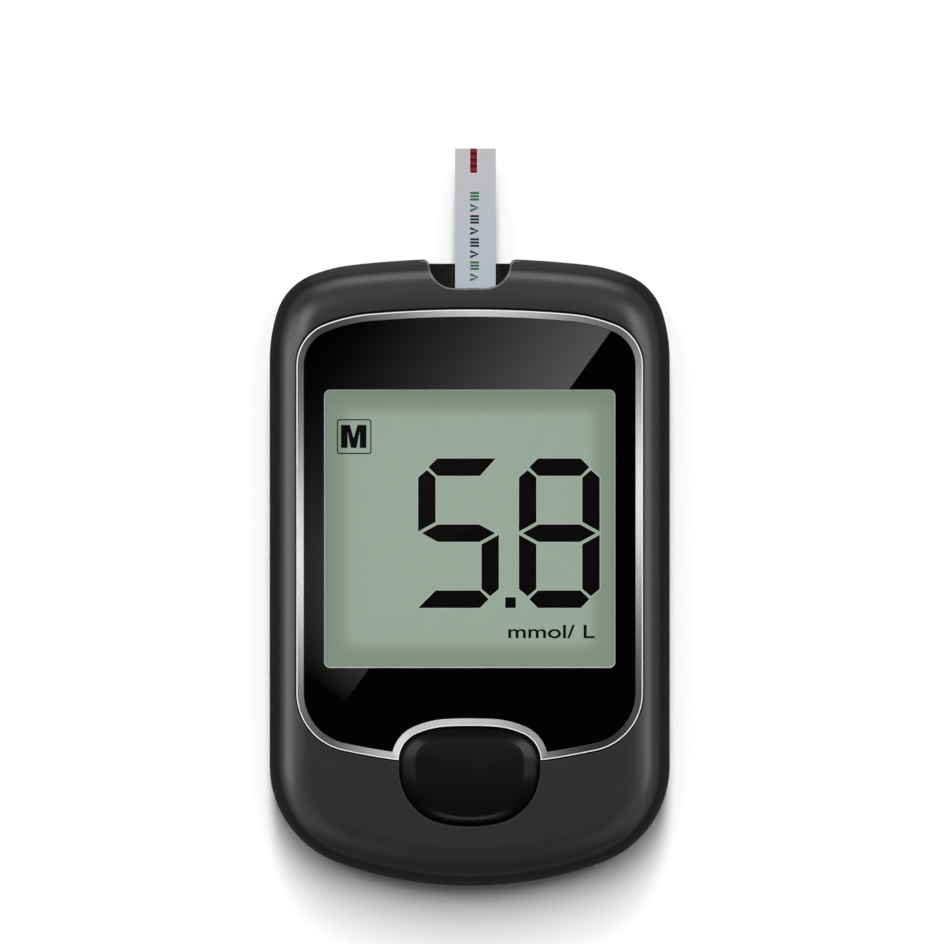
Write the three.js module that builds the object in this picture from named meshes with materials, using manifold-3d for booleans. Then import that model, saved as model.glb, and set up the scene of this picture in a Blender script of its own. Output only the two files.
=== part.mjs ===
// Blood glucose meter with a test strip in its port, in millimetres.
// It lies on its back: +Z points out of the display, +Y towards the strip port, and +X is to the reader's right.
// The origin is the centre of the flat back face.

import * as THREE from "three";
import { mergeVertices } from "three/addons/utils/BufferGeometryUtils.js";
import Module from "manifold-3d";

const wasm = await Module();
wasm.setup();

// Housing, two moulded half shells
const HOUSING_WIDTH = 56;
const HOUSING_LENGTH = 88;
const SHOULDER_RADIUS = 8.2;
const SHOULDER_EASE_RADIUS = 22.5;
const FOOT_RADIUS = 14.5;
const WALL = 1.6;
const REAR_COVER_HEIGHT = 8.2;
const BACK_ROLL_WIDTH = 4.2;
const BACK_ROLL_HEIGHT = 5;
const FRONT_SIDE_HEIGHT = 3.1;
const FRONT_ROLL_WIDTH = 6;
const FRONT_ROLL_HEIGHT = 6;
const LIP_HEIGHT = 1.2;
const LIP_THICKNESS = 0.8;
const LIP_ROOT_HEIGHT = 1.5;
const LIP_GROOVE = 0.2;
const LIP_FIT = 0.2;

// Panel pocket, bezel ring and lens
const PANEL_SIDE_BORDER = 3.85;
const PANEL_TOP_BORDER = 7.3;
const PANEL_BOTTOM_BORDER = 16.7;
const PANEL_SHOULDER_RADIUS = 6.2;
const PANEL_SHOULDER_EASE_RADIUS = 23;
const PANEL_FOOT_RADIUS = 8.3;
const PANEL_RECESS = 0.3;
const RING_BAND = 1.1;
const RING_PROUD = 0.4;
const LENS_THICKNESS = 1.3;
const ADHESIVE_THICKNESS = 0.3;
const ADHESIVE_SETBACK = 0.5;
const COLLAR_THICKNESS = 1.2;
const COLLAR_REACH = 1.2;

// Window and display
const WINDOW_SIDE_BORDER = 3.85;
const WINDOW_TOP_BORDER = 11.3;
const WINDOW_BOTTOM_BORDER = 13.9;
const WINDOW_MARGIN = 0.7;
const WINDOW_CORNER_RADIUS = 1.5;
const GLASS_MARGIN = 1.6;
const GLASS_THICKNESS = 0.7;
const GLASS_TOP_CLEARANCE = 0.5;
const FILM_THICKNESS = 0.2;
const CONTACT_LEDGE = 2.8;
const HOLDER_WALL = 1;
const HOLDER_SHELF = 1.5;
const ELASTOMER_WIDTH = 1.9;

// Button and its switch
const BUTTON_WIDTH = 19.2;
const BUTTON_LENGTH = 13.7;
const BUTTON_OVERLAP = 5.6;
const BUTTON_SHOULDER_RADIUS = 4.1;
const BUTTON_FOOT_RADIUS = 7.4;
const BUTTON_PROUD = 0.3;
const BUTTON_ROLL_WIDTH = 2.1;
const BUTTON_ROLL_HEIGHT = 1.3;
const BUTTON_GAP = 0.25;
const BUTTON_COLLAR = 3;
const BUTTON_TRAVEL = 0.5;
const FLANGE_REACH = 0.9;
const FLANGE_THICKNESS = 1;
const POST_RADIUS = 2;
const POST_LENGTH = 0.5;
const SWITCH_SIDE = 6;
const PLUNGER_RADIUS = 1.6;
const PLUNGER_PROUD = 0.8;
const SWITCH_FLOOR = 0.4;

// Circuit board and what it carries
const BOARD_RAISE = 0.8;
const BOARD_THICKNESS = 1;
const BOARD_CLEARANCE = 0.5;
const CONTROLLER_SIDE = 10;
const CONTROLLER_HEIGHT = 1.2;
const FRONT_END_SIDE = 5;
const FRONT_END_HEIGHT = 1;
const MEMORY_LENGTH = 5;
const MEMORY_WIDTH = 4;
const MEMORY_HEIGHT = 1.1;
const CRYSTAL_LENGTH = 8;
const CRYSTAL_WIDTH = 3.6;
const CRYSTAL_HEIGHT = 2.4;
const CHIP_SPACING = 4;
const CHIP_CORNER_RADIUS = 0.3;
const CONTROLLER_OFFSET = 10;
const MEMORY_OFFSET = 5;
const FRONT_END_ROW_PITCH = 20;

// Scoop, port guide, strip and connector
const SCOOP_DEPTH = 4.25;
const SCOOP_MOUTH_WIDTH = 14;
const SCOOP_FLOOR_WIDTH = 4;
const SCOOP_WALL = 1.4;
const PORT_OFFSET = 0.8;
const GUIDE_WIDTH = 14;
const GUIDE_SETBACK = 0.9;
const GUIDE_TAIL = 0.85;
const GUIDE_SEAT_HEIGHT = 5;
const GUIDE_CHEEK_HEIGHT = 0.4;
const STRIP_WIDTH = 5.7;
const STRIP_LENGTH = 29.2;
const STRIP_BASE_THICKNESS = 0.35;
const STRIP_FILM_THICKNESS = 0.15;
const STRIP_RAISE = 0.7;
const STRIP_CLEARANCE = 0.1;
const STRIP_SIDE_CLEARANCE = 0.3;
const CHAMBER_WIDTH = 1;
const CHAMBER_LENGTH = 3.4;
const CHAMBER_FIT = 0.05;
const CHAMBER_OFFSET = 0.25;
const CONNECTOR_WALL = 1.2;
const CONNECTOR_HEIGHT = 3.2;
const CONNECTOR_REAR_WALL = 0.9;
const CONNECTOR_TROUGH_LENGTH = 5.5;
const CONTACT_COUNT = 5;
const CONTACT_PITCH = 1.1;
const CONTACT_WIDTH = 0.5;
const CONTACT_THICKNESS = 0.2;
const CONTACT_TIP_RISE = 0.5;

// Battery, its holder and its door
const CELL_RADIUS = 10;
const CELL_THICKNESS = 3.2;
const CELL_CAP_STEP = 1.1;
const CELL_CAP_HEIGHT = 0.4;
const CELL_CHAMFER = 0.3;
const CELL_TO_END = 19.5;
const HOLDER_BORE_CLEARANCE = 0.5;
const CUP_WALL = 0.8;
const CUP_ROOF = 1.5;
const CELL_SPRING_GAP = 1;
const CELL_SPRING_WIDTH = 3;
const CLIP_WIDTH = 2.4;
const LEAF_THICKNESS = 0.2;
const DOOR_RECESS = 0.2;
const DOOR_GAP = 0.3;
const DOOR_CORNER_RADIUS = 2.5;
const DOOR_RIM_REACH = 1.2;
const DOOR_RIM_HEIGHT = 1;
const DOOR_RIM_LAND = 1.5;
const DOOR_END_ROOM = 2.5;
const PAD_RING_RADIUS = 7.5;
const PAD_RING_WALL = 1.2;
const FINGER_WIDTH = 6;
const FINGER_THICKNESS = 0.6;
const FINGER_HEIGHT = 2;
const GRIP_WIDTH = 1.2;
const GRIP_DEPTH = 0.5;
const GRIP_LENGTH = 10;
const GRIP_PITCH = 2.4;
const GRIP_COUNT = 3;

// Screws and their bosses
const BOSS_RADIUS = 2.5;
const BOSS_HEAD_WALL = 0.8;
const UPPER_BOSS_SIDE_INSET = 8.5;
const UPPER_BOSS_END_INSET = 11;
const LOWER_BOSS_SIDE_INSET = 10;
const LOWER_BOSS_END_INSET = 11.5;
const SCREW_RADIUS = 1.1;
const SCREW_HEAD_RADIUS = 2.1;
const SCREW_HEAD_HEIGHT = 1.3;
const SCREW_SEAT_HEIGHT = 2.2;
const SCREW_ENGAGEMENT = 2.8;
const SCREW_CLEARANCE = 0.25;
const SCREW_SLOT_WIDTH = 0.5;
const SCREW_SLOT_DEPTH = 0.6;

// General fits
const CLEARANCE = 0.3;
const SLIP_FIT = 0.1;
const POCKET_FIT = 0.15;
const CUT_OVERRUN = 1;
const JOIN_OVERLAP = 0.5;

// Shares of a quarter turn that each arc of an outline takes, from the end's middle to the side
const HOUSING_TOP_TURN_SHARES = [0.07, 0.17, 0.565, 0.195];
const HOUSING_BOTTOM_TURN_SHARES = [0.224, 0.776];
const PANEL_TOP_TURN_SHARES = [0.054, 0.183, 0.763];
const PANEL_BOTTOM_TURN_SHARES = [0.188, 0.812];
const BUTTON_TOP_TURN_SHARES = [0.176, 0.824];
const BUTTON_BOTTOM_TURN_SHARES = [0.131, 0.869];
const ROLL_ROUNDNESS_SHARE = 0.91;
const SCOOP_NECK_WIDTH_SHARE = 0.79;
const SCOOP_NECK_DEPTH_SHARE = 0.36;
const SCOOP_HEEL_WIDTH_SHARE = 0.66;
// Shares of the trough's length at which a strip contact starts down, meets the strip, leaves it and ends
const STRIP_CONTACT_SHARES = [0.3, 0.6, 0.75, 0.85];
// Shares of the cell's radius at which its spring starts down, meets the cell, leaves it and ends
const CELL_SPRING_SHARES = [-0.25, 0.125, 0.25, 0.5];

// Counts
const ARC_STEPS = 5;
const ROLL_STEPS = 5;
const CURVE_STEPS = 5;
const ROUND_SEGMENTS = 24;
const CELL_SEGMENTS = 40;

const QUARTER_TURN = Math.PI / 2;

// Heights, worked out from the back face up and from the crest down
const crest = REAR_COVER_HEIGHT + FRONT_SIDE_HEIGHT + FRONT_ROLL_HEIGHT;
const roofUnderside = crest - WALL;
const panelFace = crest - PANEL_RECESS;
const lensUnderside = panelFace - LENS_THICKNESS;
const pocketFloor = lensUnderside - ADHESIVE_THICKNESS;
const collarUnderside = pocketFloor - COLLAR_THICKNESS;
const glassTop = collarUnderside - GLASS_TOP_CLEARANCE;
const glassSeam = glassTop - GLASS_THICKNESS;
const rearGlassUnderside = glassSeam - GLASS_THICKNESS;
const filmUnderside = rearGlassUnderside - FILM_THICKNESS;
const boardUnderside = REAR_COVER_HEIGHT + BOARD_RAISE;
const boardTop = boardUnderside + BOARD_THICKNESS;
const stripUnderside = boardTop + STRIP_RAISE;
const stripBaseTop = stripUnderside + STRIP_BASE_THICKNESS;
const stripTop = stripBaseTop + STRIP_FILM_THICKNESS;
const grooveFloor = stripUnderside - STRIP_CLEARANCE;
const guideTop = grooveFloor + GUIDE_CHEEK_HEIGHT;
const flangeTop = collarUnderside - CLEARANCE;
const flangeUnderside = flangeTop - FLANGE_THICKNESS;
const plungerTop = flangeUnderside - POST_LENGTH;
const switchTop = plungerTop - PLUNGER_PROUD;
const lipOutside = WALL + LIP_FIT;
const doorInside = WALL;
const doorThickness = WALL - DOOR_RECESS;
const rimTop = WALL + DOOR_RIM_HEIGHT;
const cupMouth = rimTop + SLIP_FIT;
const cupCeiling = boardUnderside - CUP_ROOF;
const cellTop = cupCeiling - CELL_SPRING_GAP;
const cellUnderside = cellTop - CELL_THICKNESS;

// Places along Y, from the port end down and from the foot up
const housingTop = HOUSING_LENGTH / 2;
const housingBottom = -HOUSING_LENGTH / 2;
const panelTop = housingTop - PANEL_TOP_BORDER;
const panelBottom = housingBottom + PANEL_BOTTOM_BORDER;
const panelHalfWidth = HOUSING_WIDTH / 2 - PANEL_SIDE_BORDER;
const windowHalfWidth = panelHalfWidth - WINDOW_SIDE_BORDER;
const windowTop = panelTop - WINDOW_TOP_BORDER;
const windowBottom = panelBottom + WINDOW_BOTTOM_BORDER;
const buttonTop = panelBottom + BUTTON_OVERLAP;
const buttonBottom = buttonTop - BUTTON_LENGTH;
const buttonMiddle = (buttonTop + buttonBottom) / 2;
const glassHalfWidth = windowHalfWidth + GLASS_MARGIN;
const glassTopEdge = windowTop + GLASS_MARGIN;
const rearGlassBottomEdge = windowBottom - GLASS_MARGIN;
const glassBottomEdge = rearGlassBottomEdge - CONTACT_LEDGE;
const holderTopEdge = glassTopEdge + CLEARANCE + HOLDER_WALL;
const scoopFloor = housingTop - SCOOP_DEPTH;
const guideFace = housingTop - GUIDE_SETBACK;
const guideBack = scoopFloor - GUIDE_TAIL;
const boardTopEdge = guideBack - CLEARANCE;
const connectorBack = holderTopEdge + CLEARANCE + CONTACT_THICKNESS + CLEARANCE;
const connectorFront = scoopFloor - SCOOP_WALL - CLEARANCE;
const stripInnerEnd = connectorBack + CONNECTOR_REAR_WALL;
const stripTip = stripInnerEnd + STRIP_LENGTH;
const cellMiddle = housingBottom + CELL_TO_END;
const cupBore = CELL_RADIUS + HOLDER_BORE_CLEARANCE;
const cupRadius = cupBore + CUP_WALL;
const doorwayHalfWidth = cupBore + DOOR_RIM_REACH + DOOR_GAP;
const doorwayTop = cellMiddle + cupRadius + DOOR_END_ROOM;
const doorwayBottom = cellMiddle - doorwayHalfWidth;
const hingeRadius = doorThickness / 2;
const hingeY = doorwayBottom + DOOR_GAP + hingeRadius;
const hingeZ = DOOR_RECESS + hingeRadius;

const HOUSING_FORM = {
  halfWidth: HOUSING_WIDTH / 2,
  top: housingTop,
  topRadii: [SHOULDER_EASE_RADIUS, SHOULDER_RADIUS, SHOULDER_EASE_RADIUS],
  topShares: HOUSING_TOP_TURN_SHARES,
  bottom: housingBottom,
  bottomRadii: [FOOT_RADIUS],
  bottomShares: HOUSING_BOTTOM_TURN_SHARES,
};

const PANEL_FORM = {
  halfWidth: panelHalfWidth,
  top: panelTop,
  topRadii: [PANEL_SHOULDER_EASE_RADIUS, PANEL_SHOULDER_RADIUS],
  topShares: PANEL_TOP_TURN_SHARES,
  bottom: panelBottom,
  bottomRadii: [PANEL_FOOT_RADIUS],
  bottomShares: PANEL_BOTTOM_TURN_SHARES,
};

const BUTTON_FORM = {
  halfWidth: BUTTON_WIDTH / 2,
  top: buttonTop,
  topRadii: [BUTTON_SHOULDER_RADIUS],
  topShares: BUTTON_TOP_TURN_SHARES,
  bottom: buttonBottom,
  bottomRadii: [BUTTON_FOOT_RADIUS],
  bottomShares: BUTTON_BOTTOM_TURN_SHARES,
};

const bossPlaces = [
  [-1, housingTop - UPPER_BOSS_END_INSET, UPPER_BOSS_SIDE_INSET],
  [1, housingTop - UPPER_BOSS_END_INSET, UPPER_BOSS_SIDE_INSET],
  [-1, housingBottom + LOWER_BOSS_END_INSET, LOWER_BOSS_SIDE_INSET],
  [1, housingBottom + LOWER_BOSS_END_INSET, LOWER_BOSS_SIDE_INSET],
].map(([side, y, inset]) => ({ x: side * (HOUSING_WIDTH / 2 - inset), y }));

// Finishes
const finish = (color, roughness, metalness) => new THREE.MeshStandardMaterial({ color, roughness, metalness });
const satinBlack = () => finish(0x232324, 0.45, 0);
const glossBlack = () => finish(0x0c0c0d, 0.12, 0);
const innerBlack = () => finish(0x1b1b1c, 0.7, 0);
const brightSilver = () => finish(0xb9babc, 0.3, 1);
const displayGreen = () => finish(0x96a596, 0.4, 0);
const clearGlass = () => finish(0xaebbb0, 0.1, 0);
const boardGreen = () => finish(0x1f5a3a, 0.5, 0);
const steel = () => finish(0xa8aaad, 0.35, 1);
const gold = () => finish(0xc9a24a, 0.3, 1);
const stripGrey = () => finish(0xbcc3cf, 0.4, 0);
const bloodRed = () => finish(0x8c1c22, 0.35, 0);
const whitePlastic = () => finish(0xd8d8d4, 0.5, 0);

// Solids and their joins and cuts

function solidOf(geometry) {
  const bare = geometry.clone();
  bare.deleteAttribute("normal");
  bare.deleteAttribute("uv");
  const merged = mergeVertices(bare);
  return new wasm.Manifold(
    new wasm.Mesh({
      numProp: 3,
      vertProperties: merged.attributes.position.array,
      triVerts: new Uint32Array(merged.index.array),
    }),
  );
}

function geometryOf(solid) {
  const mesh = solid.getMesh();
  const geometry = new THREE.BufferGeometry();
  geometry.setAttribute("position", new THREE.BufferAttribute(mesh.vertProperties, mesh.numProp));
  geometry.setIndex(new THREE.BufferAttribute(mesh.triVerts, 1));
  return geometry;
}

const join = (first, ...others) => others.reduce((whole, other) => whole.add(other), first);
const cut = (first, ...tools) => tools.reduce((whole, tool) => whole.subtract(tool), first);

// Outlines made of tangent arcs. A quarter runs from the middle of an end to the straight side. The end's own
// crown arc gets the radius that brings the quarter to the half width. An inset moves each point along its normal.

function quarterPoints(halfWidth, apex, radii, turnShares, inset) {
  const headings = [0];
  for (const share of turnShares) headings.push(headings.at(-1) + share * QUARTER_TURN);
  const sineStep = (arc) => Math.sin(headings[arc + 1]) - Math.sin(headings[arc]);
  const cornerReach = radii.reduce((sum, radius, i) => sum + radius * sineStep(i + 1), 0);
  const crownRadius = (halfWidth - cornerReach) / sineStep(0);
  const points = [new THREE.Vector2(0, apex - inset)];
  const at = new THREE.Vector2(0, apex);
  for (const [arc, radius] of [crownRadius, ...radii].entries()) {
    const centre = at.clone().sub(normalAt(headings[arc], radius));
    for (let step = 1; step <= ARC_STEPS; step++) {
      const heading = THREE.MathUtils.lerp(headings[arc], headings[arc + 1], step / ARC_STEPS);
      at.copy(centre).add(normalAt(heading, radius));
      points.push(at.clone().sub(normalAt(heading, inset)));
    }
  }
  return points;
}

function normalAt(heading, length) {
  return new THREE.Vector2(Math.sin(heading), Math.cos(heading)).multiplyScalar(length);
}

function outlinePoints(form, inset = 0) {
  const top = quarterPoints(form.halfWidth, form.top, form.topRadii, form.topShares, inset);
  const bottom = quarterPoints(form.halfWidth, -form.bottom, form.bottomRadii, form.bottomShares, inset);
  const right = [...bottom.map((p) => new THREE.Vector2(p.x, -p.y)), ...top.reverse()];
  const left = right.slice(1, -1).reverse();
  return [...right, ...left.map((p) => new THREE.Vector2(-p.x, p.y))];
}

// A closed skin through rings of equal counts, from the lowest up, with a fan over each end.

function loft(rings) {
  const count = rings[0].length;
  const centreOf = (ring) => ring.reduce((sum, p) => sum.add(p), new THREE.Vector3()).divideScalar(count);
  const corners = [...rings.flat(), centreOf(rings[0]), centreOf(rings.at(-1))];
  const lowCentre = corners.length - 2;
  const highCentre = corners.length - 1;
  const lastRing = (rings.length - 1) * count;
  const faces = [];
  for (let j = 0; j < count; j++) {
    const next = (j + 1) % count;
    for (let ring = 0; ring < lastRing; ring += count) {
      faces.push(ring + j, ring + next, ring + count + next);
      faces.push(ring + j, ring + count + next, ring + count + j);
    }
    faces.push(lowCentre, next, j);
    faces.push(highCentre, lastRing + j, lastRing + next);
  }
  const geometry = new THREE.BufferGeometry().setFromPoints(corners);
  geometry.setIndex(faces);
  return solidOf(geometry);
}

function loftOf(form, levels) {
  const ringAt = ({ inset, z }) => outlinePoints(form, inset).map((p) => new THREE.Vector3(p.x, p.y, z));
  return loft(levels.map(ringAt));
}

// Levels of a rounded edge: from the upright side at sideZ to the flat at flatZ, which lies inset further in.

function rollLevels(sideInset, sideZ, flatInset, flatZ) {
  const levels = [];
  for (let step = 0; step <= ROLL_STEPS; step++) {
    const angle = (step / ROLL_STEPS) * QUARTER_TURN;
    const inward = 1 - Math.max(Math.cos(angle), 0) ** ROLL_ROUNDNESS_SHARE;
    const rise = Math.sin(angle) ** ROLL_ROUNDNESS_SHARE;
    levels.push({
      inset: THREE.MathUtils.lerp(sideInset, flatInset, inward),
      z: THREE.MathUtils.lerp(sideZ, flatZ, rise),
    });
  }
  return levels;
}

// Plates, blocks and cylinders between two heights

function plate(points, low, high) {
  const geometry = new THREE.ExtrudeGeometry(new THREE.Shape(points), {
    depth: high - low,
    bevelEnabled: false,
    curveSegments: CURVE_STEPS,
  });
  return solidOf(geometry.translate(0, 0, low));
}

const formPlate = (form, inset, low, high) => plate(outlinePoints(form, inset), low, high);

function block(left, right, front, back, low, high) {
  const geometry = new THREE.BoxGeometry(right - left, back - front, high - low);
  return solidOf(geometry.translate((left + right) / 2, (front + back) / 2, (low + high) / 2));
}

function cylinder(radius, low, high, x = 0, y = 0, segments = ROUND_SEGMENTS) {
  const geometry = new THREE.CylinderGeometry(radius, radius, high - low, segments);
  return solidOf(geometry.rotateX(QUARTER_TURN).translate(x, y, (low + high) / 2));
}

function roundedRectangle(left, right, front, back, radius) {
  const shape = new THREE.Shape();
  shape.moveTo(left + radius, front);
  shape.lineTo(right - radius, front);
  shape.absarc(right - radius, front + radius, radius, -QUARTER_TURN, 0);
  shape.lineTo(right, back - radius);
  shape.absarc(right - radius, back - radius, radius, 0, QUARTER_TURN);
  shape.lineTo(left + radius, back);
  shape.absarc(left + radius, back - radius, radius, QUARTER_TURN, 2 * QUARTER_TURN);
  shape.lineTo(left, front + radius);
  shape.absarc(left + radius, front + radius, radius, 2 * QUARTER_TURN, 3 * QUARTER_TURN);
  return shape.getPoints(CURVE_STEPS);
}

// A bent strip of sheet metal: a middle line in the Y-Z plane, thickened both ways and widened along X.

function leaf(line, thickness, width, x) {
  const half = thickness / 2;
  const sideOf = (sign) =>
    line.map((point, i) => {
      const before = line[Math.max(i - 1, 0)];
      const after = line[Math.min(i + 1, line.length - 1)];
      const arriving = point.clone().sub(before);
      const leaving = after.clone().sub(point);
      const along = arriving.normalize().add(leaving.normalize()).normalize();
      const lean = i > 0 && i < line.length - 1 ? along.dot(leaving) : 1;
      return new THREE.Vector2(-along.y, along.x).multiplyScalar((sign * half) / lean).add(point);
    });
  const shape = new THREE.Shape([...sideOf(1), ...sideOf(-1).reverse()]);
  const geometry = new THREE.ExtrudeGeometry(shape, { depth: width, bevelEnabled: false });
  const upright = new THREE.Matrix4().makeBasis(
    new THREE.Vector3(0, 1, 0),
    new THREE.Vector3(0, 0, 1),
    new THREE.Vector3(1, 0, 0),
  );
  return solidOf(geometry.applyMatrix4(upright).translate(x - width / 2, 0, 0));
}

// The scoop at the port: rounded shoulders fall into a hollow with a flat floor. The grown form is its wall.

function scoopPoints(grow) {
  const mouth = SCOOP_MOUTH_WIDTH / 2 + grow;
  const floorHalf = SCOOP_FLOOR_WIDTH / 2 + grow;
  const floorY = scoopFloor - grow;
  const neckX = mouth * SCOOP_NECK_WIDTH_SHARE;
  const neckY = THREE.MathUtils.lerp(housingTop, floorY, SCOOP_NECK_DEPTH_SHARE);
  const heelX = Math.max(mouth * SCOOP_HEEL_WIDTH_SHARE, floorHalf);
  const far = housingTop + CUT_OVERRUN;
  const shape = new THREE.Shape();
  shape.moveTo(-mouth, far);
  shape.lineTo(-mouth, housingTop);
  shape.quadraticCurveTo(-neckX, housingTop, -neckX, neckY);
  shape.quadraticCurveTo(-heelX, floorY, -floorHalf, floorY);
  shape.lineTo(floorHalf, floorY);
  shape.quadraticCurveTo(heelX, floorY, neckX, neckY);
  shape.quadraticCurveTo(neckX, housingTop, mouth, housingTop);
  shape.lineTo(mouth, far);
  return shape.getPoints(CURVE_STEPS);
}

// Front cover

function frontShell() {
  const sideTop = REAR_COVER_HEIGHT + FRONT_SIDE_HEIGHT;
  const skin = loftOf(HOUSING_FORM, [
    { inset: 0, z: REAR_COVER_HEIGHT },
    ...rollLevels(0, sideTop, FRONT_ROLL_WIDTH, crest),
  ]);
  const cavity = loftOf(HOUSING_FORM, [
    { inset: WALL, z: REAR_COVER_HEIGHT - CUT_OVERRUN },
    ...rollLevels(WALL, sideTop, FRONT_ROLL_WIDTH, roofUnderside),
  ]);
  const panelCollar = formPlate(PANEL_FORM, -COLLAR_REACH, collarUnderside, crest);
  const buttonCollar = formPlate(BUTTON_FORM, -BUTTON_COLLAR, collarUnderside, crest);
  const scoopWall = plate(scoopPoints(SCOOP_WALL), guideTop, crest);
  const bosses = bossPlaces.map(({ x, y }) => cylinder(BOSS_RADIUS, boardTop, roofUnderside + JOIN_OVERLAP, x, y));
  return join(cut(skin, cut(cavity, panelCollar, buttonCollar, scoopWall)), ...bosses);
}

function stripSlot() {
  const half = STRIP_WIDTH / 2 + STRIP_SIDE_CLEARANCE;
  return block(
    PORT_OFFSET - half,
    PORT_OFFSET + half,
    connectorFront - CUT_OVERRUN,
    housingTop,
    boardTop,
    stripTop + CLEARANCE,
  );
}

function guidePocket() {
  const half = GUIDE_WIDTH / 2 + CLEARANCE;
  const low = REAR_COVER_HEIGHT - CUT_OVERRUN;
  return block(-half, half, guideBack - CLEARANCE, housingTop + CUT_OVERRUN, low, guideTop + CLEARANCE);
}

function windowPoints(margin) {
  return roundedRectangle(
    -windowHalfWidth - margin,
    windowHalfWidth + margin,
    windowBottom - margin,
    windowTop + margin,
    WINDOW_CORNER_RADIUS,
  );
}

function frontCover() {
  const high = crest + CUT_OVERRUN;
  const pilot = ({ x, y }) =>
    cylinder(SCREW_RADIUS + SCREW_CLEARANCE, boardTop - CUT_OVERRUN, boardTop + SCREW_ENGAGEMENT + CLEARANCE, x, y);
  return cut(
    frontShell(),
    formPlate(PANEL_FORM, -POCKET_FIT, pocketFloor, high),
    plate(windowPoints(WINDOW_MARGIN), glassTop, high),
    formPlate(BUTTON_FORM, -BUTTON_GAP, boardTop, high),
    plate(scoopPoints(0), REAR_COVER_HEIGHT - CUT_OVERRUN, high),
    guidePocket(),
    stripSlot(),
    ...bossPlaces.map(pilot),
  );
}

// Rear cover

function rearShell() {
  const high = REAR_COVER_HEIGHT + CUT_OVERRUN;
  const skin = loftOf(HOUSING_FORM, [
    ...rollLevels(0, BACK_ROLL_HEIGHT, BACK_ROLL_WIDTH, 0).reverse(),
    { inset: 0, z: REAR_COVER_HEIGHT },
  ]);
  const cavity = loftOf(HOUSING_FORM, [
    ...rollLevels(WALL, BACK_ROLL_HEIGHT, BACK_ROLL_WIDTH, WALL).reverse(),
    { inset: WALL, z: high },
  ]);
  return cut(skin, cavity);
}

function locatingLip() {
  const inside = lipOutside + LIP_THICKNESS;
  const rootLow = REAR_COVER_HEIGHT - LIP_ROOT_HEIGHT;
  const lipTop = REAR_COVER_HEIGHT + LIP_HEIGHT;
  return cut(
    join(
      formPlate(HOUSING_FORM, WALL - JOIN_OVERLAP, rootLow, REAR_COVER_HEIGHT - LIP_GROOVE),
      formPlate(HOUSING_FORM, lipOutside, rootLow + LIP_GROOVE, lipTop),
    ),
    formPlate(HOUSING_FORM, inside, rootLow - CUT_OVERRUN, lipTop + CUT_OVERRUN),
  );
}

function doorRim() {
  const land = roundedRectangle(
    -doorwayHalfWidth - DOOR_RIM_LAND,
    doorwayHalfWidth + DOOR_RIM_LAND,
    doorwayBottom - DOOR_RIM_LAND,
    doorwayTop + DOOR_RIM_LAND,
    DOOR_CORNER_RADIUS,
  );
  const hole = roundedRectangle(
    -doorwayHalfWidth + DOOR_RIM_REACH,
    doorwayHalfWidth - DOOR_RIM_REACH,
    doorwayBottom + SLIP_FIT,
    doorwayTop - DOOR_RIM_REACH,
    DOOR_CORNER_RADIUS,
  );
  return cut(plate(land, WALL - JOIN_OVERLAP, rimTop), plate(hole, 0, rimTop + CUT_OVERRUN));
}

function doorway() {
  const points = roundedRectangle(
    -doorwayHalfWidth,
    doorwayHalfWidth,
    doorwayBottom,
    doorwayTop,
    DOOR_CORNER_RADIUS,
  );
  const squareFoot = block(
    -doorwayHalfWidth,
    doorwayHalfWidth,
    doorwayBottom,
    cellMiddle,
    -CUT_OVERRUN,
    doorInside,
  );
  return join(plate(points, -CUT_OVERRUN, doorInside), squareFoot);
}

function screwBore({ x, y }) {
  const head = cylinder(SCREW_HEAD_RADIUS + CLEARANCE, -CUT_OVERRUN, SCREW_SEAT_HEIGHT, x, y);
  const shank = cylinder(SCREW_RADIUS + SCREW_CLEARANCE, 0, boardUnderside + CUT_OVERRUN, x, y);
  return join(head, shank);
}

function portRecess() {
  const half = GUIDE_WIDTH / 2 + CLEARANCE;
  const far = housingTop + CUT_OVERRUN;
  const high = REAR_COVER_HEIGHT + LIP_HEIGHT + CUT_OVERRUN;
  return join(
    block(-half, half, guideBack - CLEARANCE, far, GUIDE_SEAT_HEIGHT, high),
    block(-half, half, guideFace, far, -CUT_OVERRUN, high),
  );
}

function rearCover() {
  const bossRadius = Math.max(BOSS_RADIUS, SCREW_HEAD_RADIUS + CLEARANCE + BOSS_HEAD_WALL);
  const bosses = bossPlaces.map(({ x, y }) =>
    join(
      cylinder(BOSS_RADIUS, WALL - JOIN_OVERLAP, boardUnderside, x, y),
      cylinder(bossRadius, WALL - JOIN_OVERLAP, SCREW_SEAT_HEIGHT + WALL, x, y),
    ),
  );
  return cut(
    join(rearShell(), locatingLip(), doorRim(), ...bosses),
    ...bossPlaces.map(screwBore),
    doorway(),
    portRecess(),
  );
}

// Battery door: a plate whose lower edge is a full round that turns in the doorway's end, with a snap finger,
// a ring that presses on the cell and grip grooves outside

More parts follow.
